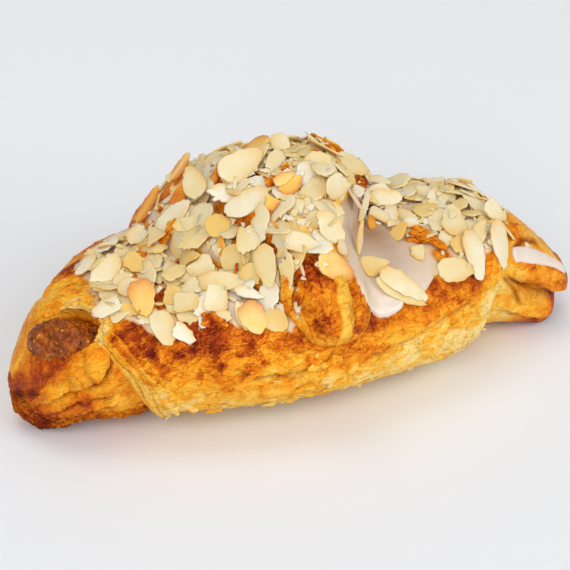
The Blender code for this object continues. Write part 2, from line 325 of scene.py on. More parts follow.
def cells(u, v, size, seed=0):
    """Irregular cells on a plane: distance to the rim (about 0 to 1) and a chance value for each."""
    p = flat_points(u, v) / size
    cell = np.floor(p).astype(np.int64)
    nearest = np.full(u.shape, 9.0)
    second = np.full(u.shape, 9.0)
    chance = np.zeros(u.shape)
    for step in itertools.product((-1, 0, 1), repeat=2):
        there = cell + np.array([*step, 0])
        random = CHANCES[lattice_index(there, seed)]
        away = np.hypot(*np.moveaxis(there[..., :2] + random[..., :2] - p[..., :2], -1, 0))
        closer = away < nearest
        second = np.where(closer, nearest, np.minimum(second, away))
        chance = np.where(closer, random[..., 2], chance)
        nearest = np.where(closer, away, nearest)
    return second - nearest, chance


# ---------------------------------------------------------------- meshes

def front_offset():
    """What to add to the roll's own coordinates to stand it where the CAD stands, in mm."""
    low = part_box("pastry")[0] / MM
    x = np.linspace(-20, 20, 161)[:, None]
    angle = np.radians(np.linspace(-20, 20, 161))[None, :]
    nearest = -np.max(wrap_radius(x, angle) * np.cos(angle))
    return np.array([low.x - CORE[0][0], low.y - nearest, low.z])


OFFSET = front_offset()


def loft_faces(rows, columns):
    """Faces of a tube of points, closed by a fan at each end; the fans' hubs come after the grid."""
    index = np.arange(rows * columns).reshape(rows, columns)
    after = np.roll(index, -1, axis=1)
    quads = np.stack([index[:-1], index[1:], after[1:], after[:-1]], -1).reshape(-1, 4)
    first, last = rows * columns, rows * columns + 1
    caps = [(first, i, j) for i, j in zip(index[0], after[0])]
    caps += [(last, j, i) for i, j in zip(index[-1], after[-1])]
    return quads.tolist() + [tuple(map(int, cap)) for cap in caps]


def slab_faces(rows, columns):
    """Faces of a closed slab between two grids of points, the outer one first."""
    index = np.arange(rows * columns).reshape(rows, columns)
    below = rows * columns
    top = np.stack([index[:-1, :-1], index[1:, :-1], index[1:, 1:], index[:-1, 1:]], -1).reshape(-1, 4)
    rim = np.concatenate([index[:, 0], index[-1, 1:], index[-2::-1, -1], index[0, -2:0:-1]])
    after = np.roll(rim, -1)
    walls = np.stack([rim, rim + below, after + below, after], -1)
    return np.concatenate([top, top[:, ::-1] + below, walls]).tolist()


def grid_normals(points, closed):
    along = np.gradient(points, axis=0)
    if closed:
        around = np.roll(points, -1, 1) - np.roll(points, 1, 1)
    else:
        around = np.gradient(points, axis=1)
    normal = np.cross(along, around)
    return normal / np.maximum(np.linalg.norm(normal, axis=-1, keepdims=True), 1e-9)


def add_to_scene(name, data, place=(0, 0, 0), aim=None):
    """A new object; a camera or light is turned to its aim."""
    thing = bpy.data.objects.new(name, data)
    thing.location = place
    if aim is not None:
        thing.rotation_euler = Vector(np.subtract(aim, place)).to_track_quat("-Z", "Y").to_euler()
    bpy.context.scene.collection.objects.link(thing)
    return thing


def make_piece(name, points, faces, material, values, replaces=()):
    """A mesh piece of the croissant, points in mm in the roll's coordinates."""
    mesh = bpy.data.meshes.new(name)
    mesh.from_pydata(((np.asarray(points) + OFFSET) * MM).tolist(), [], faces)
    for key, value in values.items():
        attribute = mesh.attributes.new(key, "FLOAT", "POINT")
        attribute.data.foreach_set("value", np.asarray(value, np.float32).ravel())
    mesh.materials.append(material)
    mesh.shade_smooth()
    piece = add_to_scene(name, mesh)
    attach(piece, "root")
    if replaces:
        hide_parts(*replaces)


def loft_piece(name, grid, material, values, replaces=()):
    rows, columns = grid.shape[:2]
    points = np.concatenate([grid.reshape(-1, 3), [grid[0].mean(axis=0), grid[-1].mean(axis=0)]])
    whole = {
        key: np.concatenate([value.ravel(), [value[0].mean(), value[-1].mean()]])
        for key, value in values.items()
    }
    make_piece(name, points, loft_faces(rows, columns), material, whole, replaces)


def slab_piece(name, outer, inner, material, values):
    rows, columns = outer.shape[:2]
    points = np.concatenate([outer.reshape(-1, 3), inner.reshape(-1, 3)])
    whole = {key: np.tile(value.ravel(), 2) for key, value in values.items()}
    make_piece(name, points, slab_faces(rows, columns), material, whole)


# ---------------------------------------------------------------- materials

def linear(red, green, blue):
    """A shader colour from screen values of 0 to 255."""
    channels = (value / 255 for value in (red, green, blue))
    return (*(c / 12.92 if c <= 0.04045 else ((c + 0.055) / 1.055) ** 2.4 for c in channels), 1)


class Shader:
    """A Principled material under construction; its sizes are in mm."""

    def __init__(self, name, roughness, **constants):
        self.material = bpy.data.materials.new(name)
        self.material.use_nodes = True
        self.tree = self.material.node_tree
        self.principled = self.tree.nodes["Principled BSDF"]
        for key, value in {"Roughness": roughness, **constants}.items():
            self.principled.inputs[key.replace("_", " ")].default_value = value
        self.coordinates = self.add("TexCoord", {}).outputs["Object"]

    def plug(self, value, socket):
        if isinstance(value, bpy.types.NodeSocket):
            self.tree.links.new(value, socket)
        else:
            socket.default_value = value

    def add(self, kind, inputs, **settings):
        """A new node with those settings, its inputs given values or linked to other nodes."""
        node = self.tree.nodes.new("ShaderNode" + kind)
        for key, value in settings.items():
            setattr(node, key, value)
        for key, value in inputs.items():
            self.plug(value, node.inputs[key])
        return node

    def attribute(self, name):
        return self.add("Attribute", {}, attribute_name=name).outputs["Fac"]

    def noise(self, size, detail=2.0, roughness=0.5, stretch=(1, 1, 1), distortion=0.0):
        """Noise, 0 to 1, with lumps of that size, longer where stretch is over 1."""
        place = self.add("Mapping", {"Vector": self.coordinates, "Scale": [1 / s for s in stretch]})
        inputs = {"Vector": place.outputs["Vector"], "Scale": 1 / (size * MM), "Detail": detail}
        inputs.update({"Roughness": roughness, "Distortion": distortion})
        return self.add("TexNoise", inputs).outputs["Fac"]

    def grains(self, size):
        """Distance from the middle of grains of that size."""
        inputs = {"Vector": self.coordinates, "Scale": 1 / (size * MM)}
        return self.add("TexVoronoi", inputs).outputs["Distance"]

    def math(self, operation, a, b=0.0, c=0.0):
        return self.add("Math", {0: a, 1: b, 2: c}, operation=operation).outputs["Value"]

    def remap(self, value, low, high, to_low=0.0, to_high=1.0):
        inputs = {"Value": value, "From Min": low, "From Max": high}
        inputs.update({"To Min": to_low, "To Max": to_high})
        return self.add("MapRange", inputs, interpolation_type="SMOOTHSTEP").outputs["Result"]

    def varied(self, value, noise, weight):
        """The value, with the noise's swings round 0.5 added."""
        return self.math("MULTIPLY_ADD", self.math("SUBTRACT", noise, 0.5), weight, value)

    def contour(self, noise, level, half_width, height):
        """That height along the line where the noise passes a level, fading to 0 beside it."""
        away = self.math("ABSOLUTE", self.math("SUBTRACT", noise, level))
        return self.remap(away, 0.0, half_width, height, 0.0)

    def ramp(self, value, stops):
        """Colours along a value: (place, colour) from low to high."""
        node = self.add("ValToRGB", {"Fac": value})
        elements = node.color_ramp.elements
        while len(elements) < len(stops):
            elements.new(0.5)
        for element, (place, colour) in zip(elements, stops):
            element.position = place
            element.color = colour
        return node.outputs["Color"]

    def mix(self, factor, a, b, blend="MIX"):
        inputs = {"Factor": factor, "A": a, "B": b}
        return self.add("Mix", inputs, data_type="RGBA", blend_type=blend).outputs[2]

    def colour(self, value):
        self.plug(value, self.principled.inputs["Base Color"])

    def rough(self, value):
        self.plug(value, self.principled.inputs["Roughness"])

    def relief(self, height, depth, strength):
        """Fine bumps: height is 0 to 1."""
        node = self.add("Bump", {"Height": height, "Distance": depth * MM, "Strength": strength})
        self.plug(node.outputs["Normal"], self.principled.inputs["Normal"])


BAKED = [
    (0.00, linear(255, 226, 148)),
    (0.18, linear(255, 200, 78)),
    (0.36, linear(254, 180, 46)),
    (0.52, linear(244, 150, 22)),
    (0.66, linear(220, 114, 8)),
    (0.80, linear(176, 70, 3)),
    (0.92, linear(134, 38, 3)),
    (1.00, linear(104, 24, 3)),
]


def crust_material():
    """Baked pastry: "bake" is pale to burnt, "shade" is painted crease shade, "gloss" is smooth egg wash."""
    s = Shader("baked_crust", 0.5, Specular_IOR_Level=0.13)
    speckle = s.noise(0.95, 3.0, 0.7, (1.4, 1, 1))
    pores = s.noise(0.42, 2.0, 0.6)
    smooth = s.attribute("gloss")
    crisp = s.remap(smooth, 0, 1, 1.0, 0.35)
    amount = s.varied(s.attribute("bake"), s.noise(5.5, 4.0, 0.62, (1.6, 1, 1), 0.4), 0.42)
    amount = s.varied(amount, s.noise(2.1, 3.0, 0.6, (1.5, 1, 1), 0.3), 0.30)
    fine = s.math("SUBTRACT", s.math("MULTIPLY_ADD", pores, 0.6, speckle), 0.80)
    amount = s.math("MULTIPLY_ADD", fine, s.math("MULTIPLY", crisp, 0.48), amount)
    # Thin flakes lift off the face: a pale edge that is a painted highlight, and a darker line that is the
    # painted shadow it casts.
    sheet = s.noise(3.0, 4.0, 0.6, (2.0, 1, 1), 0.9)
    lines = s.math("ADD", s.contour(sheet, 0.53, 0.032, -0.16), s.contour(sheet, 0.47, 0.032, 0.09))
    baked = s.ramp(s.math("MULTIPLY_ADD", lines, crisp, amount), BAKED)
    # Painted shade: the "shade" attribute darkens the colour toward a deep brown.
    deep = s.math("MULTIPLY", s.attribute("shade"), 0.85)
    s.colour(s.mix(deep, baked, linear(142, 54, 4), "MULTIPLY"))
    s.rough(s.remap(s.math("SUBTRACT", smooth, speckle), -0.8, 0.6, 0.62, 0.27))
    lifted = s.math("MULTIPLY", s.remap(sheet, 0.46, 0.53), 0.7)
    s.relief(s.math("ADD", s.math("MULTIPLY_ADD", pores, 0.5, speckle), lifted), 0.45, 0.85)
    return s.material


def filling_material():
    """Moist nut filling: dark sugar with paler crushed nuts in it."""
    s = Shader("nut_filling", 0.3, Specular_IOR_Level=0.28)
    nuts = s.remap(s.grains(1.4), 0.15, 0.55, 1.0, 0.0)
    lumps = s.noise(2.2, 4.0, 0.65)
    paste = s.ramp(lumps, [
        (0.28, linear(60, 18, 1)),
        (0.50, linear(146, 66, 3)),
        (0.72, linear(206, 112, 14)),
    ])
    pick = s.math("MULTIPLY", nuts, s.remap(s.noise(1.7, 1.0), 0.50, 0.66))
    s.colour(s.mix(pick, paste, linear(226, 148, 48)))
    s.rough(s.remap(lumps, 0.3, 0.7, 0.14, 0.38))
    s.relief(s.math("MULTIPLY_ADD", s.noise(0.5, 2.0), 0.4, nuts), 0.5, 0.9)
    return s.material


def icing_material():
    """Sugar icing: milky where thick, and the crust shows through where "depth" is small."""
    s = Shader("icing", 0.2, Subsurface_Weight=0.4, Subsurface_Scale=0.0015,
               Subsurface_Radius=(1.0, 0.75, 0.6), Coat_Weight=0.3)
    milk = s.ramp(s.varied(s.attribute("depth"), s.noise(7.0, 2.0), 0.55), [
        (0.05, linear(214, 138, 62)),
        (0.25, linear(222, 184, 138)),
        (0.55, linear(226, 206, 182)),
        (0.95, linear(232, 218, 206)),
    ])
    # Darker where the pool is thin over brown crust, and where painted shade lies on it.
    s.colour(s.mix(s.attribute("thin_and_shaded"), milk, linear(190, 158, 128), "MULTIPLY"))
    s.relief(s.noise(1.6, 1.0), 0.06, 0.5)
    return s.material


# Almond's colours: along the tint from 0 to 1, and the rim's
CREAM = ([
    (0.0, linear(244, 235, 214)),
    (0.35, linear(239, 223, 184)),
    (0.65, linear(234, 210, 153)),
    (1.0, linear(231, 194, 112)),
], linear(232, 186, 94))
TOASTED = ([
    (0.0, linear(254, 220, 152)),
    (0.45, linear(252, 200, 102)),
    (0.75, linear(246, 172, 62)),
    (1.0, linear(222, 128, 26)),
], linear(208, 104, 10))


def almond_material(name, body, rim):
    """Sliced almond: "tint" picks each slice's colour, and "margin" rises to 1 at its own edge."""
    s = Shader(name, 0.5, Subsurface_Weight=0.45, Subsurface_Scale=0.0012,
               Subsurface_Radius=(1.0, 0.8, 0.45), Specular_IOR_Level=0.3)
    flesh = s.ramp(s.varied(s.attribute("tint"), s.noise(3.5, 3.0, 0.55), 0.6), body)
    s.colour(s.mix(s.math("MULTIPLY", s.attribute("margin"), 0.75), flesh, rim))
    s.rough(s.remap(s.noise(1.4, 2.0), 0.3, 0.7, 0.40, 0.6))
    s.relief(s.noise(0.8, 2.0), 0.08, 0.5)
    return s.material


def floor_material():
    """Pale floor, with painted light that makes it a little lighter towards the back."""
    s = Shader("floor", 0.7)
    back = s.add("SeparateXYZ", {"Vector": s.coordinates}).outputs["Y"]
    s.colour(s.mix(s.remap(back, -0.3, 0.45), linear(237, 242, 250), linear(245, 249, 255)))
    return s.material


# ---------------------------------------------------------------- crust: relief shared by its pieces

ARC = 33.0      # mm of surface for each radian, about right for the wrap


def plates(x, arc, size, seed):
    """Crisp plates of crust, longer along the roll: crack at the rim of each, and a chance value."""
    points = flat_points(x, arc)
    warp = fractal(points, 7, 3, seed + 3)
    warp_too = fractal(points, 6, 3, seed + 13)
    rim, chance = cells(x / 1.9 + 2.0 * warp, arc + 2.0 * warp_too, size, seed)
    return 1 - smoothstep(0.0, 0.10, rim), chance


def flaky(points, x, arc, seed):
    """Relief of flaky crust in mm, how much darker or paler it bakes, and painted shade in its cracks."""
    crack, chance = plates(x, arc, 6.5, seed)
    small_crack, small = plates(x, arc, 2.8, seed + 20)
    lumps = fractal(points, 16, 2, seed + 40)
    fine = fractal(points, 2.6, 3, seed + 50)
    broken = crack * smoothstep(0.35, 0.75, chance)
    relief = 0.5 * lumps + 0.48 * chance + 0.24 * small - 0.35 * broken + 0.24 * fine - 0.4
    bake = 0.17 * (chance - 0.5) + 0.15 * (small - 0.5) + 0.10 * lumps
    bake = bake + 0.13 * fractal(points, 5, 3, seed + 60)
    shade = 0.45 * broken + 0.20 * small_crack * smoothstep(0.3, 0.8, small)
    return relief, bake, shade


def terraces(x, arc, pitch, seed, slope=0.0):
    """Ragged overlapping layers that run along the roll: 0 under an edge, rising to 1."""
    place = arc / pitch + slope * x + fractal(flat_points(x / 2.6, arc), 9, 4, seed)
    return place - np.floor(place)


def edge_streaks(away, arc, pitch, seed):
    """Thin parallel sheets beside an edge of the wrap: -0.5 to 0.5 across each."""
    place = away / pitch + 0.6 * fractal(flat_points(away * 1.6, arc / 4), 5, 3, seed)
    return place - np.floor(place) - 0.5


def smooth_path(points, count):
    """Evenly spaced points on a smooth curve through the given ones."""
    points = np.asarray(points, float)
    reached = np.concatenate([[0], np.cumsum(np.hypot(*np.diff(points, axis=0).T))])
    wanted = np.linspace(0, reached[-1], count)
    return np.stack([smooth_curve(reached, column)(wanted) for column in points.T], -1)


def path_distance(x, arc, path):
    """Signed distance to a path, positive on its left, and 0 to 1 along it."""
    best = np.full(x.shape, 1e9)
    side = np.zeros(x.shape)
    place = np.zeros(x.shape)
    for i, (start, end) in enumerate(zip(path[:-1], path[1:])):
        step = end - start
        along = np.clip(((x - start[0]) * step[0] + (arc - start[1]) * step[1]) / (step @ step), 0, 1)
        dx, da = x - start[0] - along * step[0], arc - start[1] - along * step[1]
        away = np.hypot(dx, da)
        closer = away < best
        best = np.where(closer, away, best)
        side = np.where(closer, np.sign(step[0] * da - step[1] * dx), side)
        place = np.where(closer, (i + along) / (len(path) - 1), place)
    return best * side, place


def folded(folds, x, angle, per_radian):
    """Relief and shade of folds: spots (x, angle) along each, lift of the dough on its left,
    how far that fades, and depth and width of the crease on its right."""
    arc = angle * per_radian
    wander = 0.5 * smooth_noise(flat_points(x, arc), 3.0, 41)
    relief, shade = np.zeros(x.shape), np.zeros(x.shape)
    for spots, lift, reach, depth, width in folds:
        path = smooth_path([(a, math.radians(b) * per_radian) for a, b in spots], 22)
        away, place = path_distance(x, arc, path)
        away = away + wander
        taper = smoothstep(0, 0.15, place) * smoothstep(1, 0.85, place)
        above = smoothstep(-0.25, 0.35, away)
        relief = relief + taper * (
            lift * above * np.exp(-np.maximum(away, 0) / reach)
            - depth * (1 - above) * np.exp(-np.maximum(-away, 0) / width)
        )
        dark = 0.9 * min(1, max(depth, 0)) * np.exp(-(((away + 0.35) / 0.75) ** 2))
        shade = shade + taper * dark
    return relief, shade


def rest_on_floor(points, seed=3):
    """Lift what would sink into the floor, unevenly."""
    low = 0.25 + 0.25 * (1 + smooth_noise(points, 5, seed))
    points[..., 2] = np.maximum(points[..., 2], low)
    return points


class Face:
    """A stretch of crust: where it lies, and its relief in mm, bake and shade as features are added."""

    def __init__(self, points, x, angle, per_radian, seed):
        self.points, self.x, self.angle = points, x, angle
        self.degrees = np.degrees(angle)
        self.arc = angle * per_radian
        self.relief, self.bake, self.shade = flaky(points, x, self.arc, seed)


# ---------------------------------------------------------------- crust: the wrap

WRAP_LIP_ROWS = 30
WRAP_BODY_ROWS = 214
WRAP_COLUMNS = 340

# Dark blisters on the wrap: x, angle, radius in mm, height, how much longer along the roll, browning
BLISTERS = [
    (-34.6, 6.4, 1.7, 0.8, 1.0, 0.50),
    (-22.3, 5.4, 1.5, 0.4, 1.5, 0.36),
    (-15.1, 2.6, 1.9, 0.3, 1.6, 0.24),
    (-44.7, 12.7, 1.4, 0.5, 1.3, 0.42),
    (-51.6, 14.5, 1.7, 0.5, 1.2, 0.44),
    (-40.5, 2.0, 3.2, -0.2, 0.4, 0.22),
    (-24.5, 13.0, 1.5, 0.3, 1.2, 0.34),
    (-29.0, 9.4, 1.1, 0.2, 1.3, 0.30),
    (-9.8, 2.6, 2.6, -0.4, 0.5, 0.26),
    (33.0, 19.0, 2.6, 0.3, 1.6, 0.22),
    (-4.0, 8.0, 2.2, -0.3, 1.8, 0.26),
]

# How brown the wrap is round its section: angle, bake
WRAP_BAKE = [
    (-95, 0.82), (-76, 0.70), (-62, 0.38), (-50, 0.24), (-30, 0.22), (-14, 0.29), (-3, 0.43),
    (6, 0.57), (14, 0.67), (40, 0.68), (90, 0.66), (150, 0.62), (175, 0.52), (195, 0.42),
    (225, 0.36), (250, 0.55), (265, 0.82),
]

RIGHT_FOLD = [(4.9, -3), (12.4, -1.6), (19, -1), (25.8, 1), (33, 3.2), (40.5, 6), (47, 8)]
right_fold, = curves(RIGHT_FOLD)

# Folds in the wrap: as folded() reads them
WRAP_FOLDS = [
    ([(-31, 6), (-29.5, 3.2), (-23.4, -0.8), (-16.7, -1.4), (-10.8, -1.6), (-6.3, -0.4), (-3, 3.7), (0, 8)],
     0.9, 4.0, 0.8, 1.2),
    (RIGHT_FOLD, 0.7, 3.5, 0.45, 1.5),
    ([(-16.5, -12), (-16.8, -8.5), (-15, -5.5), (-9, -4.2), (-3, -4.4), (3, -5.2), (8, -8)],
     -0.3, 2.5, -0.35, 2.5),
    ([(2.2, -2), (1.2, 1.4), (3, 5)], 0.3, 1.5, 0.4, 0.8),
]


def layer_wrap(face):
    """Ragged layers run along the wrap low at the front and behind, where it is paler too."""
    x, degrees = face.x, face.degrees
    step = terraces(x, face.arc, 7.5, 8, 0.010)
    low = smoothstep(10, -18, degrees) * smoothstep(-100, -60, degrees) + smoothstep(165, 185, degrees)
    here = smoothstep(-0.35, 0.35, smooth_noise(face.points, 14, 88))
    face.relief = face.relief + low * here * 0.75 * (step - 0.5)
    # Painted shade lies just under the edge of each low layer.
    face.shade = face.shade * (1 - 0.4 * low) + low * here * 0.5 * smoothstep(0.14, 0.0, step)
    base = smooth_curve(*zip(*WRAP_BAKE))(degrees + 2.5 * smooth_noise(face.points, 12, 90))
    patches = 0.09 * fractal(face.points, 13, 3, 77)
    face.bake = base + face.bake + patches - 0.06 * low * (step - 0.5)


def brown_wrap(face):
    """The wrap bakes darker under the almonds, and paler to the right and below its right fold."""
    x, degrees = face.x, face.degrees
    upper = smoothstep(-1, 8, degrees) * smoothstep(60, 40, degrees)
    face.bake = face.bake + 0.08 * upper * smoothstep(0.1, 0.6, fractal(face.points, 5.5, 3, 78))
    right_side = smoothstep(6, 20, x)
    paler = 0.04 * smoothstep(4, -8, degrees) + 0.03 * smoothstep(-4, 14, degrees)
    face.bake = face.bake - right_side * paler
    below = right_fold(x) - degrees + 1.5 * smooth_noise(face.points, 3.5, 93)
    layer = smoothstep(2, 8, x) * smoothstep(-1.0, 1.0, below) * smoothstep(34, 14, below)
    face.bake = face.bake - 0.10 * layer


def streak_wrap_edges(face):
    """Thin pale sheets show beside both spiral edges."""
    x, degrees = face.x, face.degrees
    left, right = wrap_edges(face.angle)
    near = smoothstep(13, 7, x - left) * smoothstep(75, 45, degrees)
    streak = edge_streaks(x - left, face.arc, 2.6, 95)
    face.relief = face.relief * (1 - 0.5 * near) + 0.8 * near * streak
    face.bake = face.bake - near * (0.10 + 0.26 * streak)
    near = smoothstep(15, 6, right - x)
    streak = edge_streaks(right - x, face.arc, 2.5, 96)
    face.relief = face.relief * (1 - 0.5 * near) + 0.45 * near * streak
    face.bake = face.bake - near * (0.22 * smoothstep(45, 15, degrees) + 0.18 * streak)


def blister_wrap(face):
    for x, degrees, radius, height, longer, brown in BLISTERS:
        away = np.hypot((face.x - x) / longer, face.arc - math.radians(degrees) * ARC)
        away = away * (1 + 0.5 * smooth_noise(face.points, 1.8, 91))
        face.relief = face.relief + height * np.exp(-((away / radius) ** 2))
        face.bake = face.bake + 0.7 * brown * np.exp(-((away / (0.75 * radius)) ** 4))


def fold_wrap(face):
    """The wrap's folds, a swelling to the right, and the crevice round the tongue's tip."""
    x, degrees = face.x, face.degrees
    folds, fold_shade = folded(WRAP_FOLDS, x, face.angle, ARC)
    round_tip = np.hypot((x + 2.8) / 7.0, (degrees - 19.5) / 10.6)
    crevice = bump(round_tip, 1.0, 0.15) * smoothstep(26, 18, degrees)
    swelling = 0.7 * bump(x, 45, 9) * bump(degrees, -10, 14)
    face.relief = face.relief + folds + swelling - 1.6 * crevice
    # Painted shade darkens the folds' creases and the crevice round the tongue's tip.
    face.shade = face.shade + 0.95 * fold_shade + 1.2 * crevice


def shape_wrap(face):
    """The roll curves under a little sooner than its section says, most of all near its left end.
    The hood over the filled tip is full behind and dark on its brow."""
    x, degrees = face.x, face.degrees
    under = 0.4 + 2.2 * smoothstep(38, 12, x) + 0.5 * smoothstep(-2, -14, x)
    under = under + 0.9 * smoothstep(-15, -40, x)
    under = under + 0.8 * smoothstep(46, 56, x) - 3.6 * smoothstep(-42, -54, x)
    face.relief = face.relief - bump(degrees, -50, 30) * under
    face.relief = face.relief + 1.0 * bump(x, -71, 5) * bump(degrees, 115, 40)
    hood = smoothstep(-55, -62, x) * smoothstep(25, 42, degrees)
    face.bake = face.bake - 0.24 * hood + 0.42 * bump(x, -61, 6) * bump(degrees, 130, 17)


def uneven_angles(columns):
    """Angles from -90 to 270 degrees, closer together at the front and on top."""
    spots = np.linspace(0, 1, 2001)
    degrees = -90 + 360 * spots
    density = 1.0 + 1.6 * bump(degrees, 10, 55) + 0.5 * bump(degrees, 110, 60)
    reached = np.concatenate([[0], np.cumsum((density[1:] + density[:-1]) / 2)])
    wanted = np.arange(columns) / columns * reached[-1]
    return np.radians(np.interp(wanted, reached, degrees))


def left_run(angle):
    """Length over which the wrap's left end rounds: long where the hood flows into the flap."""
    degrees = np.degrees(angle)
    hood = smoothstep(52, 84, degrees) * smoothstep(200, 150, degrees)
    return WRAP_LIP_RUN + 3.0 * bump(degrees, -5, 30) + 9 * hood


def wrap_face(x, angle):
    """The wrap's outer face."""
    face = Face(around_axis(x, wrap_radius(x, angle), angle), x, angle, ARC, 1)
    for add_feature in (layer_wrap, brown_wrap, streak_wrap_edges, blister_wrap, fold_wrap, shape_wrap):
        add_feature(face)
    return face


def lip_layers(turn, x, angle, count, seed):
    """Sheets of dough that show on a cut edge: 1 on a sheet and 0 in the gap between two."""
    place = turn * count + 0.45 * fractal(flat_points(x / 3, angle * ARC / 5), 4, 3, seed)
    return smoothstep(0.02, 0.24, np.abs(place - np.rint(place)))


def add_wrap_edges(face, grid, rise, on_left, crumb):
    """Below the wrap's rise its cut edge shows, in layers. The hood's long slope is crust nearly down
    to its foot, and its front edge is torn instead."""
    degrees = face.degrees
    flows = np.where(on_left, smoothstep(52, 70, degrees) * smoothstep(200, 165, degrees), 0)
    shown = smoothstep(0.45, 0.95, rise) * (1 - flows) + smoothstep(0.05, 0.4, rise) * flows
    hood = np.where(on_left, bump(degrees, 40, 18), 0)
    layers = [lip_layers(rise, face.x, face.angle, 4, seed) for seed in (31, 32)]
    layers = np.where(on_left, *layers)
    relief = mix(0.8 * (layers - 0.6) + 0.25 * fractal(grid, 3, 3, 33), 0.9 * crumb, hood)
    bake = 0.42 - 0.16 * layers + 0.10 * fractal(grid, 6, 2, 35) - 0.22 * hood + 0.2 * flows
    bake = bake - 0.10 * (1 - on_left)
    # Painted shade in the gaps between the sheets, and in the hollows of the hood's torn crumb.
    gap_shade = 0.8 * smoothstep(0.5, 0.0, layers) * (1 - hood) + 0.25 * hood * smoothstep(0, -0.6, crumb)
    face.relief = mix(relief, face.relief, shown)
    face.bake = mix(bake, face.bake, shown)
    face.shade = mix(gap_shade, face.shade, shown)


def tear_pocket(face, grid, normal, crumb):
    """Cut the pocket into the hood: its torn rim is pale and rough, with painted shade in its hollows, and
    its wall smooth.
    """
    rim = smoothstep(1.38, 1.2, np.linalg.norm(to_pocket(grid), axis=-1))
    face.bake = mix(face.bake, 0.10 + 0.16 * crumb, rim)
    face.shade = mix(face.shade, 0.3 * smoothstep(0.1, -0.5, crumb), rim)
    grid = grid + (0.9 * crumb * rim)[..., None] * normal
    opened = open_pocket(grid)
    inner = smoothstep(0, 1, np.linalg.norm(opened - grid, axis=-1))
    # The pocket's wall: pale in front, darkened deep inside by painted shade.
    face.bake = mix(face.bake, pocket_bake_and_shade(face.x), inner)
    face.shade = mix(face.shade, 0, inner)
    return opened


def make_wrap(material):
    angle = uneven_angles(WRAP_COLUMNS)[None, :]
    edges = wrap_edges(angle)
    x, rise = rounded_rows(*edges, left_run(angle), WRAP_LIP_RUN, WRAP_LIP_ROWS, WRAP_BODY_ROWS)
    angle = angle + 0 * x
    on_left = np.arange(len(x))[:, None] < len(x) // 2
    drop = WRAP_LIP * (1 - np.sin(rise * np.pi / 2))
    grid = around_axis(x, wrap_radius(x, angle) - drop, angle)
    normal = grid_normals(grid, True)
    crumb = fractal(grid, 1.5, 3, 61)
    face = wrap_face(x, angle)
    add_wrap_edges(face, grid, rise, on_left, crumb)
    grid = grid + face.relief[..., None] * normal
    grid = rest_on_floor(tear_pocket(face, grid, normal, crumb))
    washed = smoothstep(0, 30, face.degrees) + smoothstep(4, 14, x) * smoothstep(-6, 4, face.degrees)
    values = {"bake": face.bake, "shade": np.clip(face.shade, 0, 1), "gloss": 0.35 * washed}
    loft_piece("crust_wrap", grid, material, values)


# ---------------------------------------------------------------- the pocket in the left tip

HOOD_CUT = 1.0          # how much of the pocket's size is cut from the hood that hangs over it


def pocket_bake_and_shade(x):
    """The pocket's wall is pale in front, and darker deep inside with painted shade."""
    return 0.20 + 0.5 * smoothstep(-72, -66, x)


def pocket_turn():
    return np.array(Euler([math.radians(a) for a in POCKET_TURN]).to_matrix())


def to_pocket(points):
    """Points in the pocket's own space, where it is a ball of radius 1."""
    return (points - np.array(POCKET_CENTRE)) @ pocket_turn() / np.array(POCKET_HALF)


def from_pocket(points):
    return (points * np.array(POCKET_HALF)) @ pocket_turn().T + np.array(POCKET_CENTRE)


def open_pocket(grid):
    """Push what lies inside the hood's cut out to its wall."""
    inside = to_pocket(grid)
    far = np.linalg.norm(inside, axis=-1, keepdims=True)
    pushed = from_pocket(inside / np.maximum(far, 0.05) * HOOD_CUT)
    return np.where(far < HOOD_CUT, pushed, grid)


def sink_into_pocket(x, radius, angle, middle_y, middle_z):
    """Radius of the core with the pocket scooped out of it, and how deep inside a point lies."""
    near = to_pocket(around_axis(x, 0.0, angle, middle_y, middle_z))
    far = to_pocket(around_axis(x, 1.0, angle, middle_y, middle_z))
    ray = far - near
    a = np.sum(ray * ray, -1)
    b = np.sum(ray * near, -1)
    c = np.sum(near * near, -1) - 1
    inside = b * b - a * c
    root = np.sqrt(np.maximum(inside, 0))
    enter, leave = (-b - root) / a, (-b + root) / a
    hit = (inside > 0) & (leave > radius) & (enter < radius)
    sunk = np.where(hit, np.maximum(enter, 1.0), radius)
    return sunk, radius - sunk


# ---------------------------------------------------------------- crust: the core, whose ends show

CORE_COLUMNS = 250
CORE_END_ROWS, CORE_HIDDEN_ROWS, CORE_CAP_ROWS = 96, 6, 9
CORE_SHOWN = 52         # beyond this x, either way, the core shows
CORE_ARC = 15.0         # mm of surface for each radian on the tips

